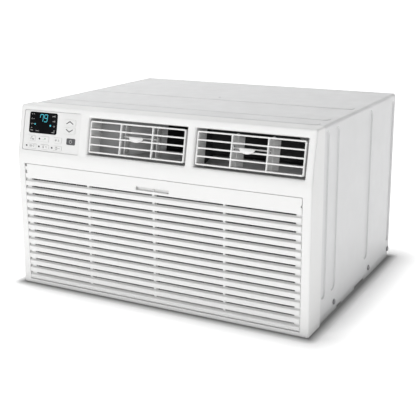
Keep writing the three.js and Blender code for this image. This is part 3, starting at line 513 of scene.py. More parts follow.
def pierce(bm, face, place, drawings):
    """Replaces a flat face by one that joins the rims of the drawings laid on it."""
    normal, point = face.normal.copy(), face.verts[0].co.copy()
    rim = list(face.edges)
    bmesh.ops.delete(bm, geom=[face], context="FACES_ONLY")
    for drawing in drawings:
        known = set(bm.edges)
        absorb(bm, drawing, place)
        for edge in (edge for edge in bm.edges if edge not in known):
            if edge.is_boundary and all(abs((v.co - point).dot(normal)) < 1e-6 for v in edge.verts):
                rim.append(edge)
    filled = bmesh.ops.triangle_fill(
        bm, use_beauty=True, use_dissolve=False, edges=rim, normal=normal)["geom"]
    faces = [item for item in filled if isinstance(item, bmesh.types.BMFace)]
    if not faces:
        raise RuntimeError("a pierced face could not be filled")
    bm.normal_update()
    wrong = [item for item in faces if item.normal.dot(normal) < 0]
    bmesh.ops.reverse_faces(bm, faces=wrong)
    return faces


def facing(bm, direction):
    """The largest face that looks in a direction."""
    bm.normal_update()
    direction = Vector(direction).normalized()
    found = (face for face in bm.faces if face.normal.dot(direction) > 0.9999)
    return max(found, key=lambda face: face.calc_area())


def extruded(points, length):
    """A closed bar with this outline, from the drawing plane out along z."""
    bm = bmesh.new()
    face = bm.faces.new([bm.verts.new((x, y, 0)) for x, y in points])
    made = bmesh.ops.extrude_face_region(bm, geom=[face])["geom"]
    verts = [item for item in made if isinstance(item, bmesh.types.BMVert)]
    bmesh.ops.translate(bm, verts=verts, vec=(0, 0, length))
    bmesh.ops.recalc_face_normals(bm, faces=bm.faces)
    return bm


def thickened(bm, faces, deep):
    """Gives flat faces a body behind them."""
    made = bmesh.ops.extrude_face_region(bm, geom=list(faces))["geom"]
    verts = [item for item in made if isinstance(item, bmesh.types.BMVert)]
    bmesh.ops.translate(bm, verts=verts, vec=(0, 0, -deep))
    bmesh.ops.recalc_face_normals(bm, faces=bm.faces)
    return bm


def slab(left, right, low, high, corner, front, deep, edge=0.0, segments=5):
    """A closed plate with rounded corners, its face at front and its body behind."""
    bm = bmesh.new()
    face = outline_face(bm, left, right, low, high, corner, segments)
    thickened(bm, [face], deep)
    bmesh.ops.translate(bm, verts=bm.verts, vec=(0, 0, front))
    if edge:
        rim = [e for e in sharp_edges(bm, 60) if all(abs(v.co.z - front) < 1e-6 for v in e.verts)]
        bevelled(bm, rim, edge, 3)
    return bm


def lathed(profile, sides=32):
    """A profile of (radius, height) points turned about z."""
    bm = bmesh.new()
    verts = [bm.verts.new((radius, 0, height)) for radius, height in profile]
    edges = [bm.edges.new(pair) for pair in zip(verts, verts[1:])]
    bmesh.ops.spin(bm, geom=verts + edges, cent=(0, 0, 0), axis=(0, 0, 1), angle=math.tau, steps=sides,
                   use_merge=True)
    bmesh.ops.remove_doubles(bm, verts=bm.verts, dist=1e-6)
    bmesh.ops.recalc_face_normals(bm, faces=bm.faces)
    return bm


def make_piece(name, bm, body, slot_name, replaced=(), *, wall=0.0, smooth=30, material=None, levels=0):
    """Turns a bmesh into a finished piece that rides on a body and stands for CAD nodes."""
    bmesh.ops.remove_doubles(bm, verts=bm.verts, dist=1e-6)
    mesh = bpy.data.meshes.new(name)
    bm.to_mesh(mesh)
    bm.free()
    mesh.polygons.foreach_set("use_smooth", [True] * len(mesh.polygons))
    mesh.set_sharp_from_angle(angle=math.radians(smooth))
    mesh.materials.append(finish(material or slot_name))
    piece = bpy.data.objects.new(name, mesh)
    bpy.context.scene.collection.objects.link(piece)
    if levels:
        subdivision = piece.modifiers.new("Rounding", "SUBSURF")
        subdivision.levels = subdivision.render_levels = levels
    if wall:
        solidify = piece.modifiers.new("Wall", "SOLIDIFY")
        solidify.thickness = wall
        solidify.offset = -1
        solidify.use_even_offset = True
        solidify.thickness_clamp = 1.0
    weighted = piece.modifiers.new("Shading", "WEIGHTED_NORMAL")
    weighted.keep_sharp = True
    weighted.weight = 80
    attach(piece, body)
    if replaced:
        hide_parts(*replaced)
    return piece


def refined(name, edge=0.4 * MM, smooth=30, levels=0):
    """A finished copy of a CAD node: welded, its edges rounded and its curves smooth."""
    bm = bmesh.new()
    bm.from_mesh(frame["nodes"][name].data)
    bmesh.ops.remove_doubles(bm, verts=bm.verts, dist=1e-6)
    bmesh.ops.dissolve_limit(bm, angle_limit=math.radians(1.5), verts=bm.verts, edges=bm.edges,
                             use_dissolve_boundaries=False)
    if levels:
        bmesh.ops.join_triangles(bm, faces=bm.faces, angle_face_threshold=math.radians(60),
                                 angle_shape_threshold=math.radians(60))
    if edge:
        bevelled(bm, sharp_edges(bm, 40), edge, 2)
    return make_piece(f"{name}_finished", bm, BODY_OF[name], SLOT_OF[name], [name],
                      smooth=smooth, levels=levels)


# ---------------------------------------------------------------- sizes and colours a user would change


class FrontSizes(PropertyGroup):
    edge: FloatProperty(name="Edge", description="Rounding of the front's outer edges",
                        default=3.5 * MM, min=1 * MM, max=6 * MM, unit="LENGTH")
    wall: FloatProperty(name="Wall", description="Thickness of the moulded wall",
                        default=2 * MM, min=1 * MM, max=3 * MM, unit="LENGTH")
    outlet_lip: FloatProperty(name="Outlet lip", description="Rounding of the rim of each air outlet",
                              default=5.2 * MM, min=OUTLET_RIM_PAST, max=5.4 * MM, unit="LENGTH")
    small_lip: FloatProperty(name="Small lip", description="Rounding of the door and panel openings",
                             default=0.8 * MM, min=0.3 * MM, max=2 * MM, unit="LENGTH")


class CabinetSizes(PropertyGroup):
    sheet: FloatProperty(name="Sheet", description="Thickness of the cabinet's sheet steel",
                         default=1.2 * MM, min=0.5 * MM, max=2 * MM, unit="LENGTH")
    slope: FloatProperty(name="Channel slope", description="Width of the sloped wall of a pressed channel",
                         default=2.4 * MM, min=1 * MM, max=8 * MM, unit="LENGTH")
    rib_slope: FloatProperty(name="Rib slope", description="Width of the sloped wall of a raised rib",
                             default=1.6 * MM, min=0.5 * MM, max=5 * MM, unit="LENGTH")
    dimple: FloatProperty(name="Screw dimple", description="Radius of the dimple round a cabinet screw",
                          default=9 * MM, min=6 * MM, max=14 * MM, unit="LENGTH")


class GrilleSizes(PropertyGroup):
    slat_edge: FloatProperty(name="Slat edge", description="Rounding of the front edges of a slat",
                             default=0.7 * MM, min=0.2 * MM, max=1.5 * MM, unit="LENGTH")
    bar_edge: FloatProperty(name="Louvre bar edge", description="Rounding of the louvre's bars",
                            default=0.8 * MM, min=0.2 * MM, max=1 * MM, unit="LENGTH")


class CoilSizes(PropertyGroup):
    fin_pitch: FloatProperty(name="Fin pitch", description="Distance from fin to fin on both coils",
                             default=2.2 * MM, min=1.4 * MM, max=5 * MM, unit="LENGTH")
    fin_thick: FloatProperty(name="Fin thickness", description="Thickness of one fin",
                             default=0.3 * MM, min=0.1 * MM, max=1 * MM, unit="LENGTH")
    tube_rows: IntProperty(name="Tube rows", description="Rows of copper tube up each coil",
                           default=11, min=4, max=16)


def colour_property(name, description, default):
    return FloatVectorProperty(name=name, description=description, subtype="COLOR", size=3, min=0, max=1,
                               default=default)


class Colours(PropertyGroup):
    plastic: colour_property("Plastic", "The moulded front", (0.76, 0.76, 0.755))
    paint: colour_property("Paint", "The sheet steel cabinet", (0.67, 0.672, 0.676))
    dark_plastic: colour_property("Dark plastic", "The power key, fans and filter frame",
                                  (0.055, 0.056, 0.06))
    duct: colour_property("Duct", "The air ducts inside", (0.04, 0.041, 0.043))
    guide: colour_property("Guide", "The air guide behind the outlets", (0.42, 0.42, 0.425))
    display_light: colour_property("Display light", "The lit digits", (0.05, 0.5, 0.62))
    key_print: colour_property("Print", "The marks on the keys", (0.12, 0.12, 0.125))
    saver_print: colour_property("Saver print", "The mark on the energy saver key", (0.2, 0.42, 0.25))


class StageSizes(PropertyGroup):
    key_power: FloatProperty(name="Key light", description="Power of the main soft light", default=46.0,
                             min=0, max=1000, unit="POWER")
    top_power: FloatProperty(name="Top light", description="Power of the soft light overhead", default=17.0,
                             min=0, max=1000, unit="POWER")
    side_power: FloatProperty(name="Side light", description="Power of the small light on the right",
                              default=13.0, min=0, max=1000, unit="POWER")
    world: FloatProperty(name="World", description="Brightness of the white room", default=0.19, min=0, max=5)
    # The floor's glow near the object is kept low so the floor is darker there: a painted shadow.
    floor_glow: FloatProperty(name="Floor glow",
                              description="How much the floor near the object lights itself",
                              default=0.08, min=0, max=2)


# ---------------------------------------------------------------- cabinet


def channel(left, right, low, high, slope, deep=CHANNEL_DEEP):
    """A long pressing with round ends; it stands up when deep is negative."""
    bm = bmesh.new()
    face = outline_face(bm, left, right, low, high, min(right - left, high - low) / 2 - 1 * MM, 7)
    return pressing(bm, face, deep, slope)


def scalloped_rib(slope):
    """The rear rib of the top, with the half-round boss of the bracket hole."""
    low, high, middle, radius = SCALLOP["low"], SCALLOP["high"], SCALLOP["y"], SCALLOP["radius"]
    start = math.asin((high - middle) / radius)
    count = 16
    bay = []
    for step in range(count + 1):
        angle = start + (math.pi - 2 * start) * step / count
        bay.append((radius * math.cos(angle), middle + radius * math.sin(angle)))
    half = TOP_RIB_HALF
    bm = bmesh.new()
    points = [(-half, low), (half, low), (half, high), *bay, (-half, high)]
    verts = [bm.verts.new((x, y, 0)) for x, y in points]
    bm.faces.new(verts)
    corners = [verts[0], verts[1], verts[2], verts[-1]]
    bmesh.ops.bevel(bm, geom=corners, offset=9 * MM, offset_type="OFFSET", segments=6, profile=0.5,
                    affect="VERTICES", clamp_overlap=True, material=-1)
    face = pressing_face(bm, faced(bm, Vector((0, 0, 1))), -RIB_HIGH, slope)
    hole_place = Matrix.Translation((0, 0, RIB_HIGH))
    pierce(bm, face, hole_place, [round_hole(0, SCALLOP["hole_y"], SCALLOP["hole"], 0.5 * MM, 3 * MM, 20)])
    return bm


def screw_dimple(y, z, radius):
    bm = bmesh.new()
    bmesh.ops.create_circle(bm, cap_ends=True, segments=28, radius=radius)
    bmesh.ops.translate(bm, verts=bm.verts, vec=(y, z, 0))
    face = faced(bm, Vector((0, 0, 1)))
    return pressing(bm, face, 0.9 * MM, radius * 0.35, 4)


def cabinet_skin():
    """The outer faces of the sheet cabinet, bent round its upper corners."""
    half, top, bottom, corner = WRAP_HIGH.x, WRAP_HIGH.z, WRAP_LOW.z, WRAP_CORNER
    bm = bmesh.new()
    points = [(-half, bottom)]
    for middle, first in ((-half + corner, math.pi), (half - corner, math.pi / 2)):
        for step in range(7):
            angle = first - step * math.pi / 12
            points.append((middle + corner * math.cos(angle), top - corner + corner * math.sin(angle)))
    points.append((half, bottom))
    verts = [bm.verts.new((x, WRAP_LOW.y, z)) for x, z in points]
    edges = [bm.edges.new(pair) for pair in zip(verts, verts[1:])]
    made = bmesh.ops.extrude_edge_only(bm, edges=edges)["geom"]
    moved = [item for item in made if isinstance(item, bmesh.types.BMVert)]
    bmesh.ops.translate(bm, verts=moved, vec=(0, WRAP_HIGH.y - WRAP_LOW.y, 0))
    rear = [item for item in made if isinstance(item, bmesh.types.BMEdge)]
    made = bmesh.ops.extrude_edge_only(bm, edges=rear)["geom"]
    for vert in (item for item in made if isinstance(item, bmesh.types.BMVert)):
        vert.co.x = max(-half + WRAP_FLANGE, min(half - WRAP_FLANGE, vert.co.x))
        vert.co.z = min(top - WRAP_FLANGE, vert.co.z)
    bmesh.ops.remove_doubles(bm, verts=bm.verts, dist=1e-6)
    bmesh.ops.dissolve_degenerate(bm, dist=1e-6, edges=bm.edges)
    bm.normal_update()
    if facing_or_none(bm, (0, 0, 1)) is None:
        bmesh.ops.reverse_faces(bm, faces=bm.faces)
    folds = [edge for edge in sharp_edges(bm, 60)]
    bevelled(bm, folds, 1.4 * MM, 3)
    return bm


def facing_or_none(bm, direction):
    direction = Vector(direction)
    found = [face for face in bm.faces if face.normal.dot(direction) > 0.9999]
    return max(found, key=lambda face: face.calc_area()) if found else None


def screw_places():
    """Distance along the side and height of each cabinet screw, from the right-hand screws."""
    places = []
    for number in (1, 2, 3):
        low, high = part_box(f"cabinet_screw_right_{number}")
        places.append(((low.y + high.y) / 2, (low.z + high.z) / 2))
    return places


def side_drawings(sizes):
    """The channels and screw dimples of one side, as drawn for the right-hand one."""
    channels = [
        channel(y0 * MM, y1 * MM, z0 * MM, z1 * MM, sizes.slope) for y0, y1, z0, z1 in SIDE_CHANNELS
    ]
    dimples = [
        screw_dimple(y, z, min(sizes.dimple, z - WRAP_LOW.z - 0.2 * MM)) for y, z in screw_places()
    ]
    return channels + dimples


class AC_OT_cabinet_wrap(Operator):
    """Make the sheet steel cabinet with its pressed channels, screw dimples and rear flange"""

    bl_idname = "ac_build.cabinet_wrap"
    bl_label = "Cabinet"

    def execute(self, context):
        sizes = context.scene.ac_cabinet
        bm = cabinet_skin()
        pierce(bm, facing(bm, (1, 0, 0)), RIGHT_SIDE, side_drawings(sizes))
        pierce(bm, facing(bm, (-1, 0, 0)), MIRRORED @ RIGHT_SIDE, side_drawings(sizes))
        top = [
            channel(-TOP_RIB_HALF, TOP_RIB_HALF, y0 * MM, y1 * MM, sizes.rib_slope, -RIB_HIGH)
            for y0, y1 in TOP_RIBS
        ]
        top.append(scalloped_rib(sizes.rib_slope))
        pierce(bm, facing(bm, (0, 0, 1)), TOP_SIDE, top)
        make_piece("cabinet_sheet", bm, ROOT_BODY, "painted_steel", ["cabinet_wrap"], wall=sizes.sheet)
        return {"FINISHED"}


class AC_OT_rear_grille(Operator):
    """Make the rear grille with its rows of condenser openings and side slots"""

    bl_idname = "ac_build.rear_grille"
    bl_label = "Rear grille"

    def execute(self, context):
        low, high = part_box("rear_grille")
        rear = plane((-1, 0, 0), (0, 0, 1), (0, high.y, 0))
        bm = bmesh.new()
        outline_face(bm, low.x, high.x, low.z, high.z, 4 * MM)
        bmesh.ops.transform(bm, matrix=rear, verts=bm.verts)
        bm.normal_update()
        columns = ((-122, 8), (18, 148), (158, 288))
        drawings = [
            hole(-x1 * MM, -x0 * MM, (30 + 29 * row) * MM, (52 + 29 * row) * MM, 3 * MM, 0.6 * MM, 0.4 * MM,
                 segments=3)
            for row in range(11) for x0, x1 in columns
        ] + [
            hole(152 * MM, 282 * MM, (92 + 18 * row) * MM, (98 + 18 * row) * MM, 2.8 * MM, 0.6 * MM, 0.4 * MM,
                 segments=3)
            for row in range(13)
        ]
        pierce(bm, bm.faces[:][0], rear, drawings)
        make_piece("rear_grille_plate", bm, ROOT_BODY, "painted_steel", ["rear_grille"], wall=0.8 * MM)
        return {"FINISHED"}


def cross_recess(size, wide, deep):
    """A cross-shaped pocket with a bottom."""
    bm = bmesh.new()
    arm, half = size, wide / 2
    points = [(half, half), (arm, half), (arm, -half), (half, -half), (half, -arm), (-half, -arm),
              (-half, -half), (-arm, -half), (-arm, half), (-half, half), (-half, arm), (half, arm)]
    bm.faces.new([bm.verts.new((x, y, 0)) for x, y in points])
    face = faced(bm, Vector((0, 0, 1)))
    sunk(bm, face, deep)
    return bm


def screw_head(radius, thick):
    """A pan head with a washer face and a cross recess, its underside in the drawing plane."""
    flat = radius * 0.5
    bm = lathed([(0, 0), (radius, 0), (radius, thick * 0.25), (radius * 0.95, thick * 0.55),
                 (radius * 0.8, thick * 0.82), (flat, thick), (0, thick)])
    bmesh.ops.dissolve_limit(bm, angle_limit=math.radians(2), verts=bm.verts, edges=bm.edges)
    bm.normal_update()
    pierce(bm, facing(bm, (0, 0, 1)), Matrix.Translation((0, 0, thick)),
           [cross_recess(radius * 0.38, radius * 0.16, thick * 0.55)])
    return bm


class AC_OT_cabinet_screws(Operator):
    """Make the pan-head screws that hold the cabinet to the base pan"""

    bl_idname = "ac_build.cabinet_screws"
    bl_label = "Cabinet screws"

    def execute(self, context):
        for side, across in (("left", -1), ("right", 1)):
            for number in (1, 2, 3):
                name = f"cabinet_screw_{side}_{number}"
                low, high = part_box(name)
                middle = (low + high) / 2
                radius = (high.z - low.z) / 2
                under = WRAP_HIGH.x + 0.3 * MM
                place = plane((0, across, 0), (0, 0, 1), (across * under, middle.y, middle.z))
                turned = place @ Matrix.Rotation(math.radians(17 + 31 * number + 11 * across), 4, "Z")
                bm = bmesh.new()
                absorb(bm, screw_head(radius, 2.2 * MM), turned)
                profile = ((0, -9.7), (1.2, -9.7), (2, -8.5), (2, 0.1), (0, 0.1))
                shank = lathed([(out * MM, up * MM) for out, up in profile], 16)
                absorb(bm, shank, place)
                make_piece(f"{name}_finished", bm, ROOT_BODY, "screw_steel", [name])
        return {"FINISHED"}


# ---------------------------------------------------------------- front


def bezel_skin(sizes):
    """The outer surface of the front, from the seam forward, with rounded edges."""
    seam, width = BEZEL_HIGH.y, BEZEL_HIGH.x - BEZEL_LOW.x
    rise = BEZEL_HIGH.z - BEND_HEIGHT
    lean = rise * UP_THE_FACE.y / UP_THE_FACE.z
    outline = [(seam, BEZEL_LOW.z), (FRONT, BEZEL_LOW.z), (FRONT, BEND_HEIGHT), (FRONT + lean, BEZEL_HIGH.z),
               (seam, BEZEL_HIGH.z)]
    bm = bmesh.new()
    absorb(bm, extruded(outline, width), plane((0, 1, 0), (0, 0, 1), (BEZEL_LOW.x, 0, 0)))
    bmesh.ops.delete(bm, geom=[facing(bm, (0, 1, 0))], context="FACES_ONLY")
    bevelled(bm, sharp_edges(bm, 5), sizes.edge, 4)
    return bm


def outlet_middles():
    """Distance across to the middle of each air outlet."""
    middles = {}
    for side in ("left", "right"):
        low, high = drawn_box(f"{side}_louvre_frame", LEANING)
        middles[side] = (low.x + high.x) / 2
    return middles


class AC_OT_front_bezel(Operator):
    """Make the moulded front with its outlets, panel recess and door opening"""

    bl_idname = "ac_build.front_bezel"
    bl_label = "Front bezel"

    def execute(self, context):
        sizes = context.scene.ac_front
        bm = bezel_skin(sizes)
        door_half = (DOOR_HIGH.x - DOOR_LOW.x) / 2 - 2.2 * MM + DOOR_GAP
        door = hole(-door_half, door_half, DOOR_LOW.z - DOOR_GAP, DOOR_HIGH.z + DOOR_GAP, 1 * MM,
                    sizes.small_lip, 15 * MM)
        pierce(bm, facing(bm, (0, -1, 0)), UPRIGHT, [door])
        narrow = sizes.outlet_lip - OUTLET_RIM_PAST
        outlets = [
            hole(x - OUTLET["half"] + narrow, x + OUTLET["half"] - narrow, OUTLET["low"] + narrow,
                 OUTLET["high"] - narrow, 1 * MM, sizes.outlet_lip, OUTLET["deep"], segments=6)
            for x in outlet_middles().values()
        ]
        low, high = drawn_box("control_fascia", LEANING)
        flange_x, flange_s, clear = 3.5 * MM, 1.5 * MM, 0.5 * MM
        panel = hole(low.x + flange_x - clear, high.x - flange_x + clear, low.y + flange_s - clear,
                     high.y - flange_s + clear, 2.5 * MM, sizes.small_lip, 3 * MM)
        pierce(bm, facing(bm, -INWARDS), LEANING, [*outlets, panel])
        cord = round_hole(-CORD_HOLE["y"], CORD_HOLE["z"], CORD_HOLE["radius"], 0.8 * MM, 1.4 * MM)
        left = plane((0, -1, 0), (0, 0, 1), (BEZEL_LOW.x, 0, 0))
        pierce(bm, facing(bm, (-1, 0, 0)), left, [cord])
        make_piece("front_moulding", bm, ROOT_BODY, "white_plastic", ["front_bezel"], wall=sizes.wall)
        refined("cord_inlet_grommet", 0.5 * MM)
        return {"FINISHED"}


def slat(z, slat_edge, half):
    """One slat of the intake door, between the grooves above and below it."""
    g = GROOVE
    below, above = z, z + g["pitch"]
    wall = 2 * MM
    outline = [(0, below + g["front"]), (wall, below + g["front"]), (wall, above - 1.2 * MM),
               (g["deep"], above + g["slot_low"] - 1.8 * MM), (g["deep"], above + g["slot_low"]), (0, above)]
    bm = extruded(outline, 2 * half)
    rim = [e for e in bm.edges if all(abs(v.co.x) < 1e-6 for v in e.verts) and abs(
        e.verts[0].co.z - e.verts[1].co.z) > half]
    bevelled(bm, rim, slat_edge, 3)
    return bm


def notched(half, notch_in, notches, high):
    """The outline of one end of the strip, upwards, with its latch notches."""
    points = []
    for bottom, top in notches:
        points += [(half, bottom), (half - notch_in, bottom), (half - notch_in, top)]
        if top < high:
            points.append((half, top))
    if points[-1][1] < high:
        points.append((half, high))
    return points


def top_strip(half, slat_edge):
    """The plain strip above the grooves, with the finger recess and the latch notches."""
    g = GROOVE
    last = g["first"] + (g["count"] - 1) * g["pitch"]
    low, high = last + g["front"], DOOR_HIGH.z
    skin = 6 * MM
    right = [(half, low), *notched(half, 2.2 * MM, ((230 * MM, 234 * MM),), high)]
    left = [(-x, z) for x, z in reversed([
        (half, low), *notched(half, 4.6 * MM, ((228 * MM, 234.5 * MM), (242 * MM, high)), high)])]
    bm = bmesh.new()
    face = bm.faces.new([bm.verts.new((x, z, 0)) for x, z in right + left])
    bm.normal_update()
    if face.normal.z < 0:
        bmesh.ops.reverse_faces(bm, faces=[face])
    recess = hole(-RECESS["half"], RECESS["half"], RECESS["low"], RECESS["high"], 1.5 * MM, 0.8 * MM,
                  RECESS["deep"], bottom=True)
    pierce(bm, face, Matrix(), [recess])
    plate = bmesh.new()
    absorb(plate, bm)
    body = bmesh.new()
    outline = [(x, z) for x, z in right + left]
    absorb(body, extruded(outline, skin), Matrix.Translation((0, 0, -skin)))
    cap = facing(body, (0, 0, 1))
    bmesh.ops.delete(body, geom=[cap], context="FACES_ONLY")
    absorb(body, plate)
    bmesh.ops.remove_doubles(body, verts=body.verts, dist=1e-6)
    body.normal_update()
    rim = [e for e in sharp_edges(body, 60) if all(abs(v.co.z) < 1e-6 for v in e.verts)]
    bevelled(body, rim, slat_edge, 2)
    return body


class AC_OT_intake_grille(Operator):
    """Make the swing-down intake grille with its slats, ribs and finger recess"""

    bl_idname = "ac_build.intake_grille"
    bl_label = "Intake grille"

    def execute(self, context):
        edge = context.scene.ac_grille.slat_edge
        half = (DOOR_HIGH.x - DOOR_LOW.x) / 2 - 2.2 * MM
        g = GROOVE
        sideways = plane((0, 1, 0), (0, 0, 1), (-half, FRONT, 0))
        bm = bmesh.new()
        for row in range(g["count"] - 1):
            absorb(bm, slat(g["first"] + row * g["pitch"], edge, half), sideways)
        chamfer = 2.5 * MM
        low = DOOR_LOW.z
        first = g["first"]
        foot = extruded([(0, first), (g["deep"], first + g["slot_low"]), (DOOR_THICK, first + g["slot_low"]),
                         (DOOR_THICK, low), (chamfer, low), (0, low + chamfer)], 2 * half)
        rim = [e for e in foot.edges if abs(e.verts[0].co.z - e.verts[1].co.z) > half
               and min(v.co.x for v in e.verts) < chamfer + 1e-6]
        bevelled(foot, rim, edge, 2)
        absorb(bm, foot, sideways)
        absorb(bm, top_strip(half, edge), UPRIGHT)
        last = first + (g["count"] - 1) * g["pitch"]
        for bottom, top in ((last + g["slot_high"], RECESS["low"] - 0.7 * MM),
                            (RECESS["high"] + 0.7 * MM, DOOR_HIGH.z)):
            backing = [(5.8 * MM, bottom), (DOOR_THICK, bottom), (DOOR_THICK, top), (5.8 * MM, top)]
            absorb(bm, extruded(backing, 2 * half), sideways)
        inner, outer = FRONT + g["deep"] - 0.3 * MM, FRONT + DOOR_THICK
        for rib in RIBS:
            top = (rib + RIB_HALF, outer + 0.5 * MM, DOOR_HIGH.z - 20 * MM)
            absorb(bm, bar((rib - RIB_HALF, inner, first), top, 0.3 * MM))
        for hand in (-1, 1):
            xs = sorted((hand * SLOT_END, hand * (half - 0.2 * MM)))
            top = (xs[1], outer - 0.1 * MM, DOOR_HIGH.z - 3 * MM)
            absorb(bm, bar((xs[0], inner, low + 3 * MM), top, 0.3 * MM))
            pin = post(1.7 * MM, 10 * MM, 0.4 * MM)
            joint = JOINTS["intake_door_hinge"]["pos_m"]
            absorb(bm, pin, plane((0, hand, 0), (0, 0, 1), (hand * (half - 8 * MM), joint[1], joint[2])))
        make_piece("intake_grille_door", bm, "intake_door", "white_plastic", ["intake_grille"])
        return {"FINISHED"}


class AC_OT_air_filter(Operator):
    """Make the filter's frame and its woven net"""

    bl_idname = "ac_build.air_filter"
    bl_label = "Air filter"

    def execute(self, context):
        refined("filter_frame", 0.5 * MM)
        low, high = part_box("filter_mesh")
        bm = bmesh.new()
        pitch, thread = 4 * MM, 0.35 * MM
        middle = (low.y + high.y) / 2
        columns = int((high.x - low.x) / pitch)
        rows = int((high.z - low.z) / pitch)
        places = [Matrix.Translation((low.x + (column + 0.5) * (high.x - low.x) / columns, 0, 0))
                  for column in range(columns)]
        upright = bar((-thread, middle - 2 * thread, low.z), (thread, middle, high.z))
        absorb(bm, upright, *places)
        pitch = (high.z - low.z) / rows
        places = [Matrix.Translation((0, 0, low.z + (row + 0.5) * pitch)) for row in range(rows)]
        level = bar((low.x, middle - thread, -thread), (high.x, middle + thread, thread))
        absorb(bm, level, *places)
        make_piece("filter_net_threads", bm, "intake_door", "filter_net", ["filter_mesh"])
        return {"FINISHED"}


# ---------------------------------------------------------------- louvred outlets


def louvre_place(side):
    """The leaning face's axes, moved to the middle of one louvre."""
    low, high = drawn_box(f"{side}_louvre_frame", LEANING)
    return LEANING @ Matrix.Translation(((low.x + high.x) / 2, (low.y + high.y) / 2, 0))


def louvre_shell(edge):
    half, tall, rim = LOUVRE["half"], LOUVRE["tall"], LOUVRE["rim"]
    bm = bmesh.new()
    face = outline_face(bm, -half, half, -tall, tall, 3.4 * MM, 5)
    stepped(bm, face, [(rim, 0)])
    bmesh.ops.delete(bm, geom=[face], context="FACES_ONLY")
    thickened(bm, bm.faces[:], LOUVRE["back"] - LOUVRE["front"])
    bmesh.ops.translate(bm, verts=bm.verts, vec=(0, 0, -LOUVRE["front"]))
    bevelled(bm, sharp_edges(bm, 60), edge, 3)
    return bm


def pin_boss():
    """The small raised bearing of a vane's pin."""
    return lathed([(0, -0.6 * MM), (3.6 * MM, -0.6 * MM), (3.4 * MM, 0.5 * MM), (2.7 * MM, 0.9 * MM),
                   (2.3 * MM, 0.7 * MM), (1.9 * MM, 1.5 * MM), (1.2 * MM, 1.9 * MM), (0, 2 * MM)], 20)


class AC_OT_louvre_frames(Operator):
    """Make the two tilting louvre frames with their bars, uprights and pin bearings"""

    bl_idname = "ac_build.louvre_frames"
    bl_label = "Louvre frames"

    def execute(self, context):
        edge = context.scene.ac_grille.bar_edge
        half, tall, rim, front = LOUVRE["half"], LOUVRE["tall"], LOUVRE["rim"], LOUVRE["front"]
        for side in ("left", "right"):
            place = louvre_place(side)
            bm = bmesh.new()
            absorb(bm, louvre_shell(edge), place)
            thick = 2.8 * MM
            for row in (-1, 0, 1):
                level = row * (2 * tall - rim) / 4
                absorb(bm, bar((-half + 1 * MM, level - thick / 2, -front - 9 * MM),
                               (half - 1 * MM, level + thick / 2, -front), edge, 3), place)
            for x in (-VANE["x"], VANE["x"]):
                absorb(bm, bar((x - 1.4 * MM, -tall + 1 * MM, -front - 5 * MM),
                               (x + 1.4 * MM, tall - 1 * MM, -front + 0.15 * MM), edge, 3), place)
                for hand in (-1, 1):
                    up = plane((hand, 0, 0), (0, 0, -1), (x, hand * tall, -VANE["pivot_in"]))
                    absorb(bm, pin_boss(), place @ up)
                    floor = plane((hand, 0, 0), (0, 0, -1), (x, -hand * (tall - rim), -VANE["pivot_in"]))
                    absorb(bm, pin_boss(), place @ floor)
            for hand in (-1, 1):
                stub = post(2.5 * MM, 7.2 * MM, 0.5 * MM)
                stub_end = (hand * (half - 0.8 * MM), 0, -15 * MM)
                absorb(bm, stub, place @ plane((0, 0, -hand), (0, 1, 0), stub_end))
            make_piece(f"{side}_louvre_cartridge", bm, f"{side}_louvre", "white_plastic",
                       [f"{side}_louvre_frame"])
        return {"FINISHED"}


def vane_blade():
    """A vane in its own axes: x across, y up, z towards the room, the pivot at the origin."""
    fore, aft, tall, thick = VANE["fore"], VANE["aft"], VANE["tall"], VANE["thick"]
    notch_low, notch_high, notch_in = LINK["low"] - 2.6 * MM, LINK["high"] + 2.6 * MM, 6 * MM
    outline = [(-aft, -tall), (fore, -tall), (fore, notch_low), (fore - notch_in, notch_low),
               (fore - notch_in, notch_high), (fore, notch_high), (fore, tall), (-aft, tall)]
    bm = bmesh.new()
    face = bm.faces.new([bm.verts.new((x, y, 0)) for x, y in outline])
    bm.normal_update()
    if face.normal.z < 0:
        bmesh.ops.reverse_faces(bm, faces=[face])
    eye = bmesh.new()
    bmesh.ops.create_circle(eye, cap_ends=False, segments=12, radius=1.3 * MM)
    bmesh.ops.translate(eye, verts=eye.verts, vec=(-6 * MM, 1 * MM, 0))
    rim = list(bm.edges)
    bmesh.ops.delete(bm, geom=[face], context="FACES_ONLY")
    known = set(bm.edges)
    absorb(bm, eye)
    rim += [edge for edge in bm.edges if edge not in known]
    bmesh.ops.triangle_fill(bm, use_beauty=True, use_dissolve=False, edges=rim, normal=(0, 0, 1))
    thickened(bm, bm.faces[:], thick)
    bmesh.ops.translate(bm, verts=bm.verts, vec=(0, 0, thick / 2))
    bevelled(bm, sharp_edges(bm, 60), 0.45 * MM, 2)
    made = bmesh.new()
    absorb(made, bm, plane((0, 0, 1), (0, 1, 0), (0, 0, 0)))
    flat = plane((1, 0, 0), (0, 0, -1), (0, 0, 0))
    pin = post(1.5 * MM, 2 * tall + 6 * MM, 0.4 * MM, 14)
    absorb(made, pin, flat @ Matrix.Translation((0, 0, -tall - 3 * MM)))
    link_pin = post(1.2 * MM, 8 * MM, 0.3 * MM, 14)
    absorb(made, link_pin, plane((1, 0, 0), (0, 0, -1), (0, LINK["low"] - 3 * MM, VANE["link_radius"])))
    return made


class AC_OT_vanes(Operator):
    """Make the four upright vanes that send the air to the left or right"""

    bl_idname = "ac_build.vanes"
    bl_label = "Vanes"

    def execute(self, context):
        for side in ("left", "right"):
            for number, x in ((1, -VANE["x"]), (2, VANE["x"])):
                name = f"{side}_vane_{number}"
                place = (louvre_place(side) @ Matrix.Translation((x, 0, -VANE["pivot_in"]))
                         @ Matrix.Rotation(VANES_SWUNG[side], 4, "Y"))
                bm = bmesh.new()
                absorb(bm, vane_blade(), place)
                make_piece(f"{name}_blade", bm, BODY_OF[name], "white_plastic", [name])
        return {"FINISHED"}


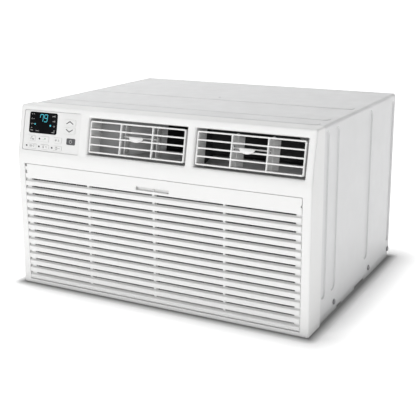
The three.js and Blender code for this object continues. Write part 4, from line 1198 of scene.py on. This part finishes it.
def finger_paddle():
    """The boat-shaped finger grip: crowned, full in the middle and drawn in at both ends."""
    bm = bmesh.new()
    half, tip, root = 15 * MM, 24 * MM, 15 * MM
    low, high = LINK["low"] - 8 * MM, LINK["high"] + 0.6 * MM
    bmesh.ops.create_cube(bm, size=1)
    bmesh.ops.scale(bm, verts=bm.verts, vec=(2 * half, high - low, tip - root))
    bmesh.ops.translate(bm, verts=bm.verts, vec=(0, (low + high) / 2, (tip + root) / 2))
    lengthwise = [e for e in bm.edges if abs(e.verts[0].co.x - e.verts[1].co.x) > half]
    bmesh.ops.subdivide_edges(bm, edges=lengthwise, cuts=7, use_grid_fill=True)
    for vert in bm.verts:
        share = vert.co.x / half
        full = math.sqrt(max(0.0, 1 - (share * 0.97) ** 2))
        if vert.co.y < (low + high) / 2:
            vert.co.y = high - (high - low) * (0.2 + 0.8 * full)
        if vert.co.z > (tip + root) / 2:
            vert.co.z = root + (tip - root) * (0.3 + 0.7 * full ** 1.4)
        else:
            vert.co.z = root + (tip - root) * 0.25 * (1 - full)
    return bm


class AC_OT_vane_links(Operator):
    """Make the link bars between the vanes, each with its finger paddle"""

    bl_idname = "ac_build.vane_links"
    bl_label = "Vane links"

    def execute(self, context):
        for side in ("left", "right"):
            swung = VANES_SWUNG[side]
            radius = VANE["link_radius"]
            place = louvre_place(side) @ Matrix.Translation(
                (radius * math.sin(swung), 0, -VANE["pivot_in"] + radius * math.cos(swung)))
            bm = bmesh.new()
            low, high, wide = LINK["low"], LINK["high"], LINK["wide"]
            reach = VANE["x"] + 3 * MM
            lying = plane((1, 0, 0), (0, 0, -1), (0, high, 0))
            link = slab(-reach, reach, -wide / 2, wide / 2, 2.8 * MM, 0, high - low, 0.4 * MM)
            absorb(bm, link, place @ lying)
            neck = bar((-4 * MM, low + 0.1 * MM, -1 * MM), (4 * MM, high - 0.1 * MM, 19 * MM), 0.5 * MM)
            absorb(bm, neck, place)
            make_piece(f"{side}_link_bar", bm, BODY_OF[f"{side}_vane_link"], "white_plastic",
                       [f"{side}_vane_link"])
            grip = bmesh.new()
            absorb(grip, finger_paddle(), place)
            make_piece(f"{side}_finger_paddle", grip, BODY_OF[f"{side}_vane_link"], "white_plastic", levels=2)
        return {"FINISHED"}


# ---------------------------------------------------------------- control panel

KEYS = ("up_button", "down_button", "power_button", "fan_speed_button", "energy_saver_button", "mode_button",
        "filter_reset_button", "sleep_button", "timer_button")
KEY_CORNER = 2 * MM


def key_box(name):
    """The visible cap of a key on the leaning face, without its hidden flange."""
    low, high = drawn_box(name, LEANING)
    return low.x + FLANGE, high.x - FLANGE, low.y + FLANGE, high.y - FLANGE, high.z


def light_places():
    """Where the four indicator lights are on the leaning face, from the light guide's tips."""
    back = LEANING.inverted()
    points = [back @ vertex.co for vertex in frame["nodes"]["light_guide"].data.vertices]
    front = max(point.z for point in points)
    tips = []
    for point in (p for p in points if p.z > front - 0.05 * MM):
        near = [tip for tip in tips if (Vector(tip[0][:2]) - point.xy).length < 5 * MM]
        if near:
            near[0].append(point)
        else:
            tips.append([point])
    return [
        (sum(p.x for p in tip) / len(tip), sum(p.y for p in tip) / len(tip), front) for tip in tips
    ]


class AC_OT_control_fascia(Operator):
    """Make the control panel's face with its openings for keys, lights and display"""

    bl_idname = "ac_build.control_fascia"
    bl_label = "Control fascia"

    def execute(self, context):
        low, high = drawn_box("control_fascia", LEANING)
        flange_x, flange_s = 3.5 * MM, 1.5 * MM
        front = high.z
        place = LEANING @ Matrix.Translation((0, 0, front))
        bm = bmesh.new()
        outline_face(bm, low.x + flange_x, high.x - flange_x, low.y + flange_s, high.y - flange_s, 2 * MM)
        bm.normal_update()
        clear, lip, wall = 0.2 * MM, 0.2 * MM, 1.4 * MM
        openings = []
        for key in KEYS:
            left, right, bottom, top, _ = key_box(key)
            openings.append(hole(left - clear, right + clear, bottom - clear, top + clear,
                                 KEY_CORNER + clear, lip, wall))
        left, bottom, _ = drawn_box("display_window", LEANING)[0]
        right, top, _ = drawn_box("display_window", LEANING)[1]
        openings.append(hole(left - clear, right + clear, bottom - clear, top + clear,
                             4 * MM + clear, lip, wall))
        openings += [round_hole(x, s, 1.8 * MM, 0.25 * MM, wall, 16) for x, s, _ in light_places()]
        pierce(bm, bm.faces[:][0], Matrix(), openings)
        bmesh.ops.transform(bm, matrix=place, verts=bm.verts)
        make_piece("control_panel_face", bm, ROOT_BODY, "button_plastic", ["control_fascia"], wall=1.2 * MM)
        refined("control_board", 0.2 * MM)
        return {"FINISHED"}


def stroke(start, end, wide, thick=0.12 * MM):
    """A printed line from point to point, with round ends."""
    start, end = Vector(start), Vector(end)
    along = end - start
    angle = math.atan2(along.y, along.x)
    bm = slab(-wide / 2, along.length + wide / 2, -wide / 2, wide / 2, wide * 0.45, thick, thick, segments=3)
    place = Matrix.Translation((*start, 0)) @ Matrix.Rotation(angle, 4, "Z")
    bmesh.ops.transform(bm, matrix=place, verts=bm.verts)
    return bm


def disc(x, y, radius, thick=0.12 * MM):
    bm = post(radius, thick, sides=18)
    bmesh.ops.translate(bm, verts=bm.verts, vec=(x, y, 0))
    return bm


def ring(x, y, radius, wide, start=0.0, sweep=math.tau, count=20):
    """A printed arc, made of short strokes."""
    bm = bmesh.new()
    angles = [start + sweep * step / count for step in range(count + 1)]
    points = [(x + radius * math.cos(angle), y + radius * math.sin(angle)) for angle in angles]
    for first, second in zip(points, points[1:]):
        absorb(bm, stroke(first, second, wide))
    return bm


def joined(*parts):
    bm = bmesh.new()
    for part in parts:
        absorb(bm, part)
    return bm


def chevron(size, wide, hand):
    return joined(stroke((-size, -hand * size * 0.3), (0, hand * size * 0.3), wide),
                  stroke((0, hand * size * 0.3), (size, -hand * size * 0.3), wide))


def fan_mark(size):
    parts = [disc(0, 0, size * 0.2)]
    for blade in range(3):
        angle = math.radians(90 + 120 * blade)
        parts.append(ring(size * 0.5 * math.cos(angle), size * 0.5 * math.sin(angle),
                          size * 0.34, size * 0.26, angle - 1.6, 2.6, 6))
    return joined(*parts)


def leaf_mark(size):
    return joined(ring(-size * 0.2, -size * 0.1, size * 0.75, size * 0.22, 0.1, 1.4, 8),
                  ring(size * 0.55, size * 0.65, size * 0.75, size * 0.22, math.pi + 0.1, 1.4, 8),
                  stroke((-size * 0.6, -size * 0.5), (size * 0.35, size * 0.4), size * 0.2),
                  stroke((-size * 1.3, -size * 0.4), (-size * 0.9, -size * 0.4), size * 0.2))


def snow_mark(size):
    arms = [Vector((size * math.cos(a), size * math.sin(a))) for a in (0, math.pi / 3, 2 * math.pi / 3)]
    return joined(*[stroke(-arm, arm, size * 0.22) for arm in arms])


def drop_mark(size):
    return joined(ring(0, -size * 0.25, size * 0.55, size * 0.24, math.radians(150), math.radians(240), 10),
                  stroke((-size * 0.48, 0), (0, size), size * 0.24),
                  stroke((size * 0.48, 0), (0, size), size * 0.24))


def moon_mark(size):
    return joined(ring(0, 0, size * 0.75, size * 0.26, math.radians(60), math.radians(240), 12),
                  ring(size * 0.38, size * 0.22, size * 0.6, size * 0.22,
                       math.radians(100), math.radians(170), 8))


def clock_mark(size):
    return joined(ring(0, 0, size * 0.85, size * 0.24, count=16),
                  stroke((0, 0), (0, size * 0.5), size * 0.22),
                  stroke((0, 0), (size * 0.36, 0), size * 0.22))


def filter_mark(size):
    return joined(*[stroke((-size, y * size), (size, y * size), size * 0.22) for y in (-0.6, 0, 0.6)],
                  *[stroke((x * size, -size * 0.6), (x * size, size * 0.6), size * 0.18) for x in (-1, 0, 1)])


def power_mark(size):
    return joined(ring(0, 0, size * 0.8, size * 0.26, math.radians(120), math.radians(300), 14),
                  stroke((0, size * 0.25), (0, size), size * 0.26))


def moved(bm, x, y):
    bmesh.ops.translate(bm, vec=(x, y, 0), verts=bm.verts)
    return bm


def key_marks():
    """The print on each key: what to draw, in the key's own axes, and its ink."""
    m = MM
    return {
        "up_button": (chevron(6.2 * m, 1.8 * m, 1), "print_grey"),
        "down_button": (chevron(6.2 * m, 1.8 * m, -1), "print_grey"),
        # The power key's pale print carries a painted glow.
        "power_button": (power_mark(3.2 * m), "pale_print_painted_glow"),
        "fan_speed_button": (joined(fan_mark(2.9 * m),
                                    stroke((2 * m, -2.4 * m), (4.6 * m, -2.4 * m), 0.7 * m),
                                    stroke((3 * m, -1 * m), (4.6 * m, -1 * m), 0.7 * m)), "print_grey"),
        "energy_saver_button": (leaf_mark(2.8 * m), "print_green"),
        "mode_button": (joined(moved(snow_mark(2.1 * m), -3 * m, 0),
                               moved(drop_mark(1.9 * m), 2.6 * m, -0.2 * m)), "print_grey"),
        "filter_reset_button": (joined(moved(filter_mark(2.2 * m), -2.2 * m, 0),
                                       moved(ring(0, 0, 1.6 * m, 0.6 * m, 0.5, 4.9, 10), 4 * m, 0)),
                                "print_grey"),
        "sleep_button": (joined(moved(moon_mark(2.4 * m), -1.6 * m, 0),
                                stroke((2.4 * m, 0.9 * m), (4.6 * m, 0.9 * m), 0.6 * m),
                                stroke((3 * m, -0.9 * m), (5 * m, -0.9 * m), 0.6 * m)), "print_grey"),
        "timer_button": (joined(moved(clock_mark(2.5 * m), -1.8 * m, 0),
                                stroke((2.6 * m, 0), (5 * m, 0), 0.6 * m)), "print_grey"),
    }


class AC_OT_keys(Operator):
    """Make the nine keys with their soft edges and printed marks"""

    bl_idname = "ac_build.keys"
    bl_label = "Keys"

    def execute(self, context):
        marks = key_marks()
        for key in KEYS:
            left, right, bottom, top, front = key_box(key)
            slot_name = SLOT_OF[key]
            bm = bmesh.new()
            face = outline_face(bm, left, right, bottom, top, KEY_CORNER, 5)
            outline = bmesh.new()
            absorb(outline, bm)
            face = faced(outline, Vector((0, 0, 1)))
            stepped(outline, face, [(0.25 * MM, 0.3 * MM), (0.35 * MM, 0.15 * MM), (1.2 * MM, 0.06 * MM)])
            bmesh.ops.translate(outline, verts=outline.verts, vec=(0, 0, -0.51 * MM))
            rim = [edge for edge in outline.edges if edge.is_boundary]
            walls = bmesh.ops.extrude_edge_only(outline, edges=rim)["geom"]
            lowered = [item for item in walls if isinstance(item, bmesh.types.BMVert)]
            bmesh.ops.translate(outline, verts=lowered, vec=(0, 0, -4.4 * MM))
            bmesh.ops.holes_fill(outline, edges=[edge for edge in outline.edges if edge.is_boundary])
            bmesh.ops.recalc_face_normals(outline, faces=outline.faces)
            cap = bmesh.new()
            place = LEANING @ Matrix.Translation((0, 0, front))
            absorb(cap, outline, place)
            flange = slab(left - FLANGE, right + FLANGE, bottom - FLANGE, top + FLANGE,
                          1 * MM, -4.7 * MM, 1.5 * MM, 0.2 * MM)
            absorb(cap, flange, place)
            middle = ((left + right) / 2, (bottom + top) / 2)
            stem = post(1.8 * MM, 4.3 * MM, 0.3 * MM, 14)
            absorb(cap, stem, place @ Matrix.Translation((*middle, -10.2 * MM)))
            make_piece(f"{key}_cap", cap, BODY_OF[key], slot_name, [key])
            drawing, ink = marks[key]
            printed = bmesh.new()
            heavier = Matrix.Diagonal((1.15, 1.15, 1, 1))
            absorb(printed, drawing, place @ Matrix.Translation((*middle, -0.08 * MM)) @ heavier)
            make_piece(f"{key}_mark", printed, BODY_OF[key], slot_name, material=ink)
        return {"FINISHED"}


class AC_OT_indicator_lights(Operator):
    """Make the smoked lenses of the indicator lights and the guide behind them"""

    bl_idname = "ac_build.indicator_lights"
    bl_label = "Indicator lights"

    def execute(self, context):
        refined("light_guide", 0.15 * MM)
        bm = bmesh.new()
        radius = 1.55 * MM
        for x, s, front in light_places():
            lens = lathed([(0, -1 * MM), (radius, -1 * MM), (radius, 0), (radius * 0.85, 0.25 * MM),
                           (radius * 0.5, 0.4 * MM), (0, 0.45 * MM)], 20)
            absorb(bm, lens, LEANING @ Matrix.Translation((x, s, front)))
        make_piece("indicator_lenses", bm, ROOT_BODY, "smoked_plastic")
        return {"FINISHED"}


SEGMENTS = {"a": ((0, 2), (1, 2)), "b": ((1, 2), (1, 1)), "c": ((1, 1), (1, 0)), "d": ((0, 0), (1, 0)),
            "e": ((0, 1), (0, 0)), "f": ((0, 2), (0, 1)), "g": ((0, 1), (1, 1))}
DIGITS = {"7": "abcf", "9": "abcdfg"}


def digit(value, wide, high, line):
    """A seven-segment digit that leans a little to the right, its lower left corner at the origin."""
    bm = bmesh.new()
    gap, lean = line * 0.7, 0.1
    for segment in DIGITS[value]:
        ends = [Vector((x * wide, y * high / 2)) for x, y in SEGMENTS[segment]]
        along = (ends[1] - ends[0]).normalized() * gap
        points = [point + Vector((point.y * lean, 0)) for point in (ends[0] + along, ends[1] - along)]
        absorb(bm, stroke(points[0], points[1], line, 0.05 * MM))
    return bm


class AC_OT_display(Operator):
    """Make the black display window with its lit digits, lit dots and printed marks"""

    bl_idname = "ac_build.display"
    bl_label = "Display"

    def execute(self, context):
        low, high = drawn_box("display_window", LEANING)
        wide, tall = high.x - low.x, high.y - low.y
        place = LEANING @ Matrix.Translation((low.x, low.y, high.z))
        lens = bmesh.new()
        absorb(lens, slab(0, wide, 0, tall, 4 * MM, 0, 2.8 * MM, 0.5 * MM, 7), place)
        make_piece("display_lens", lens, ROOT_BODY, "display_glass", ["display_window"])

        m = MM
        lit = joined(moved(digit("7", 7.2 * m, 13.6 * m, 1.15 * m), 24.6 * m, tall - 17.6 * m),
                     moved(digit("9", 7.2 * m, 13.6 * m, 1.15 * m), 34.6 * m, tall - 17.6 * m),
                     disc(14 * m, tall - 23.4 * m, 1.5 * m, 0.05 * m),
                     disc(50.8 * m, tall - 24.2 * m, 1.8 * m, 0.05 * m))
        lights = bmesh.new()
        absorb(lights, lit, place)
        make_piece("display_digits", lights, ROOT_BODY, "display_glass", material="display_light")

        left = [moved(snow_mark(1.5 * m), 6 * m, tall - 4.6 * m),
                moved(fan_mark(1.8 * m), 6 * m, tall - 13.6 * m),
                moved(drop_mark(1.6 * m), 6 * m, tall - 23.2 * m),
                moved(leaf_mark(1.7 * m), 6.4 * m, tall - 31 * m),
                stroke((4 * m, tall - 35.6 * m), (9.4 * m, tall - 35.6 * m), 0.8 * m)]
        right = []
        for row, down in enumerate((5.8, 15.2, 25.0, 33.6)):
            for step in range(4 - row):
                x = 60.6 * m - 1.9 * m * step
                tip = tall - (down - 1.0 + 0.45 * step) * m
                right.append(stroke((x, tall - (down + 1.0) * m), (x, tip), 0.9 * m))
        right.append(stroke((55.6 * m, tall - 36.8 * m), (61.6 * m, tall - 36.8 * m), 0.8 * m))
        level = [stroke((9.6 * m, tall - y * m), (11 * m, tall - y * m), 0.7 * m) for y in (4.2, 13.4, 23.0)]
        dim = [stroke((x * m, tall - 36.2 * m), ((x + 1.2) * m, tall - 36.2 * m), 0.8 * m)
               for x in (17.4, 20.2, 23)]
        # The display marks are print with a painted glow.
        prints = bmesh.new()
        absorb(prints, joined(*left, *level, *right, *dim), place @ Matrix.Translation((0, 0, -0.06 * m)))
        make_piece("display_marks", prints, ROOT_BODY, "display_glass", material="pale_print_painted_glow")
        return {"FINISHED"}


# ---------------------------------------------------------------- inside


class AC_OT_coils(Operator):
    """Make the cooling and the condenser coils with their fins, tubes and end plates"""

    bl_idname = "ac_build.coils"
    bl_label = "Coils"

    def execute(self, context):
        sizes = context.scene.ac_coils
        for name in ("evaporator_coil", "condenser_coil"):
            low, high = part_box(name)
            plate = 2 * MM
            bm = bmesh.new()
            for x in (low.x, high.x - plate):
                absorb(bm, bar((x, low.y, low.z), (x + plate, high.y, high.z), 0.4 * MM))
            inset = 2 * MM
            start, end = low.x + plate, high.x - plate
            count = int((end - start) / sizes.fin_pitch)
            fin = bar((-sizes.fin_thick / 2, low.y + inset, low.z + inset),
                      (sizes.fin_thick / 2, high.y - inset, high.z - inset))
            pitch = (end - start) / count
            places = [Matrix.Translation((start + (step + 0.5) * pitch, 0, 0)) for step in range(count)]
            absorb(bm, fin, *places)
            make_piece(f"{name}_fins", bm, ROOT_BODY, "fin_aluminium", [name])
            tubes = bmesh.new()
            rows = sizes.tube_rows
            radius = 4.75 * MM
            places = []
            for row in range(rows):
                z = low.z + (high.z - low.z) * (row + 0.5) / rows
                for share in (0.3, 0.7):
                    y = low.y + (high.y - low.y) * share
                    places.append(plane((0, 1, 0), (0, 0, 1), (low.x + 0.1 * MM, y, z)))
            length = high.x - low.x - 0.2 * MM
            absorb(tubes, post(radius, length, 0.4 * MM, 14), *places)
            make_piece(f"{name}_tubes", tubes, ROOT_BODY, "copper")
        return {"FINISHED"}


class AC_OT_air_guide(Operator):
    """Make the grey walls that lead the air from the blower's mouth to both outlets"""

    bl_idname = "ac_build.air_guide"
    bl_label = "Air guide"

    def execute(self, context):
        near, far = 39 * MM, 88 * MM
        outer = [(-149, 8), (296, 8), (296, 70), (276, 89), (-149, 89)]
        mouth = [(-24, 34), (262, 34), (262, 64), (240, 84), (-24, 84)]
        bm = bmesh.new()
        loops = []
        for points, deep in ((outer, near), (mouth, far)):
            verts = [bm.verts.new((x * MM, s * MM, -deep)) for x, s in points]
            pairs = zip(verts, verts[1:] + verts[:1])
            loops.append([bm.edges.new(pair) for pair in pairs])
        bmesh.ops.bridge_loops(bm, edges=loops[0] + loops[1])
        bmesh.ops.subdivide_edges(bm, edges=bm.edges, cuts=2, use_grid_fill=True)
        bmesh.ops.recalc_face_normals(bm, faces=bm.faces)
        low_face = min(bm.faces, key=lambda face: face.calc_center_median().y)
        if low_face.normal.y < 0:
            bmesh.ops.reverse_faces(bm, faces=bm.faces)
        guide = bmesh.new()
        absorb(guide, bm, LEANING)
        make_piece("air_guide", guide, ROOT_BODY, "duct_plastic", wall=1.5 * MM, material="guide_plastic")
        return {"FINISHED"}


ROUNDED_INSIDES = {
    "base_pan": 0.35, "drain_plug": 0.6, "blower_scroll": 0.4, "blower_wheel": 0.3,
    "air_outlet_duct": 0.5, "bulkhead": 0.3, "motor_shaft": 0.6, "fan_motor": 1.5,
    "motor_bracket": 0.5, "condenser_fan": 0.5, "fan_shroud": 0.5, "compressor": 1.0,
    "compressor_grommet_1": 0.6, "compressor_grommet_2": 0.6, "compressor_grommet_3": 0.6,
    "suction_accumulator": 0.5, "control_box": 0.4, "run_capacitor": 1.2,
}
PIPES = ("discharge_pipe", "suction_pipe", "accumulator_outlet_pipe", "capillary_tube")


class AC_OT_insides(Operator):
    """Round and finish the base pan and the fans, motor, compressor, ducts and pipes inside the cabinet"""

    bl_idname = "ac_build.insides"
    bl_label = "Insides"

    def execute(self, context):
        for name, edge in ROUNDED_INSIDES.items():
            refined(name, edge * MM)
        for name in PIPES:
            refined(name, 0, levels=1, smooth=60)
        return {"FINISHED"}


# ---------------------------------------------------------------- stage


FLOOR_HALF = 12
FLOOR_DROP = 0.0002             # keeps the floor just under the object
# Painted shadow: the floor glows less and is darker near the object's footprint.
GLOW_REACH = 0.09               # metres beyond the object, where the floor is as bright as it gets
FLOOR_GLOW_FAR = 0.8
PAINTED_SHADOW_REACH = 0.022           # width of the darker band of floor at the object's foot
PAINTED_SHADOW_TONE = 0.14
FLOOR_TONE = 0.9
CAMERA_PLACE = (0.78793, -1.51355, 0.61699)
CAMERA_TURN = (27.9, 14.0, -0.31)      # degrees round, up and rolled
CAMERA_LENS = 73.83
CAMERA_SHIFT = -0.067


class AC_OT_stage(Operator):
    """Make the pale floor, the soft studio lights and the camera"""

    bl_idname = "ac_build.stage"
    bl_label = "Stage"

    def execute(self, context):
        scene = context.scene
        sizes = scene.ac_stage
        bm = bmesh.new()
        bends = [turn * math.pi / 16 for turn in range(1, 9)]
        curve = [(5.0 + 2 * math.sin(bend), 2 - 2 * math.cos(bend)) for bend in bends]
        sweep = [(-9.0, 0.0), (5.0, 0.0), *curve, (7.0, 8.0)]
        verts = [bm.verts.new((-FLOOR_HALF, y, z - FLOOR_DROP)) for y, z in sweep]
        edges = [bm.edges.new(pair) for pair in zip(verts, verts[1:])]
        made = bmesh.ops.extrude_edge_only(bm, edges=edges)["geom"]
        far_side = [item for item in made if isinstance(item, bmesh.types.BMVert)]
        bmesh.ops.translate(bm, verts=far_side, vec=(2 * FLOOR_HALF, 0, 0))
        bmesh.ops.recalc_face_normals(bm, faces=bm.faces)
        for face in bm.faces:
            face.smooth = True
        mesh = bpy.data.meshes.new("studio_floor")
        bm.to_mesh(mesh)
        bm.free()
        floor = bpy.data.objects.new("studio_floor", mesh)
        scene.collection.objects.link(floor)
        white = bpy.data.materials.new("studio_floor")
        white.use_nodes = True
        shader = white.node_tree.nodes["Principled BSDF"]
        shader.inputs["Roughness"].default_value = 0.9
        shader.inputs["Specular IOR Level"].default_value = 0.0
        shader.inputs["Emission Color"].default_value = (1, 1, 1, 1)
        tree = white.node_tree
        coordinates = node(tree, "ShaderNodeTexCoord")
        beside = node(tree, "ShaderNodeVectorMath", operation="ABSOLUTE")
        tree.links.new(coordinates.outputs["Object"], beside.inputs[0])
        outside = node(tree, "ShaderNodeVectorMath", operation="SUBTRACT")
        outside.inputs[1].default_value = (CAD_BOX[1][0], CAD_BOX[1][1], 1)
        tree.links.new(beside.outputs["Vector"], outside.inputs[0])
        clear = node(tree, "ShaderNodeVectorMath", operation="MAXIMUM")
        tree.links.new(outside.outputs["Vector"], clear.inputs[0])
        away = node(tree, "ShaderNodeVectorMath", operation="LENGTH")
        tree.links.new(clear.outputs["Vector"], away.inputs[0])
        # Painted shadow: the floor's glow and colour both fall towards the object's footprint.
        glow = mapped(tree, away.outputs["Value"], 0.0, GLOW_REACH, sizes.floor_glow, FLOOR_GLOW_FAR)
        tone = mapped(tree, away.outputs["Value"], 0.0, PAINTED_SHADOW_REACH, PAINTED_SHADOW_TONE, FLOOR_TONE)
        tree.links.new(tone, shader.inputs["Base Color"])
        tree.links.new(glow, shader.inputs["Emission Strength"])
        mesh.materials.append(white)

        world = bpy.data.worlds.new("studio_room")
        world.use_nodes = True
        background = world.node_tree.nodes["Background"]
        background.inputs["Color"].default_value = (1, 1, 1, 1)
        background.inputs["Strength"].default_value = sizes.world
        scene.world = world

        middle = Vector((0, 0, 0.18))
        lights = (("key_light", (-1.5, -3.7, 1.45), 2.0, sizes.key_power),
                  ("top_light", (-0.9, -0.1, 1.9), 1.2, sizes.top_power),
                  ("side_light", (1.5, -2.5, 0.9), 0.6, sizes.side_power))
        for name, where, size, power in lights:
            light = bpy.data.lights.new(name, "AREA")
            light.size = size
            light.energy = power
            lamp = bpy.data.objects.new(name, light)
            lamp.location = where
            lamp.rotation_euler = (Vector(where) - middle).to_track_quat("Z", "Y").to_euler()
            scene.collection.objects.link(lamp)

        camera = bpy.data.cameras.new("studio_camera")
        camera.sensor_width = 36
        camera.lens = CAMERA_LENS
        camera.shift_y = CAMERA_SHIFT
        camera.clip_end = 100
        viewer = bpy.data.objects.new("studio_camera", camera)
        azimuth, elevation, roll = (math.radians(angle) for angle in CAMERA_TURN)
        backwards = Vector((math.sin(azimuth) * math.cos(elevation), -math.cos(azimuth) * math.cos(elevation),
                            math.sin(elevation)))
        across = Vector((math.cos(azimuth), math.sin(azimuth), 0))
        turn = Matrix((across, backwards.cross(across), backwards)).transposed().to_4x4()
        viewer.matrix_world = Matrix.Translation(CAMERA_PLACE) @ turn @ Matrix.Rotation(roll, 4, "Z")
        scene.collection.objects.link(viewer)
        scene.camera = viewer
        scene.view_settings.view_transform = "Standard"
        return {"FINISHED"}


# ---------------------------------------------------------------- registration

PIECES = (
    AC_OT_cabinet_wrap, AC_OT_rear_grille, AC_OT_cabinet_screws, AC_OT_front_bezel,
    AC_OT_intake_grille, AC_OT_air_filter, AC_OT_louvre_frames, AC_OT_vanes, AC_OT_vane_links,
    AC_OT_control_fascia, AC_OT_keys, AC_OT_indicator_lights, AC_OT_display, AC_OT_coils, AC_OT_air_guide,
    AC_OT_insides, AC_OT_stage,
)
SETTINGS = {
    "ac_front": FrontSizes, "ac_cabinet": CabinetSizes, "ac_grille": GrilleSizes, "ac_coils": CoilSizes,
    "ac_colours": Colours, "ac_stage": StageSizes,
}


class AC_PT_builder(Panel):
    """Lists the pieces of the air conditioner"""

    bl_label = "Air Conditioner"
    bl_idname = "AC_PT_builder"
    bl_space_type = "VIEW_3D"
    bl_region_type = "UI"
    bl_category = "Air Conditioner"

    def draw(self, context):
        for settings in SETTINGS:
            group = getattr(context.scene, settings)
            for name in group.__annotations__:
                self.layout.prop(group, name)
        for operator in PIECES:
            self.layout.operator(operator.bl_idname)


def register():
    for group in SETTINGS.values():
        bpy.utils.register_class(group)
    for operator in PIECES:
        bpy.utils.register_class(operator)
    bpy.utils.register_class(AC_PT_builder)
    for name, group in SETTINGS.items():
        setattr(bpy.types.Scene, name, PointerProperty(type=group))


def unregister():
    for name in SETTINGS:
        delattr(bpy.types.Scene, name)
    bpy.utils.unregister_class(AC_PT_builder)
    for operator in reversed(PIECES):
        bpy.utils.unregister_class(operator)
    for group in reversed(SETTINGS.values()):
        bpy.utils.unregister_class(group)


def main():
    register()
    for operator in PIECES:
        family, name = operator.bl_idname.split(".")
        getattr(getattr(bpy.ops, family), name)()


if __name__ == "__main__":
    main()
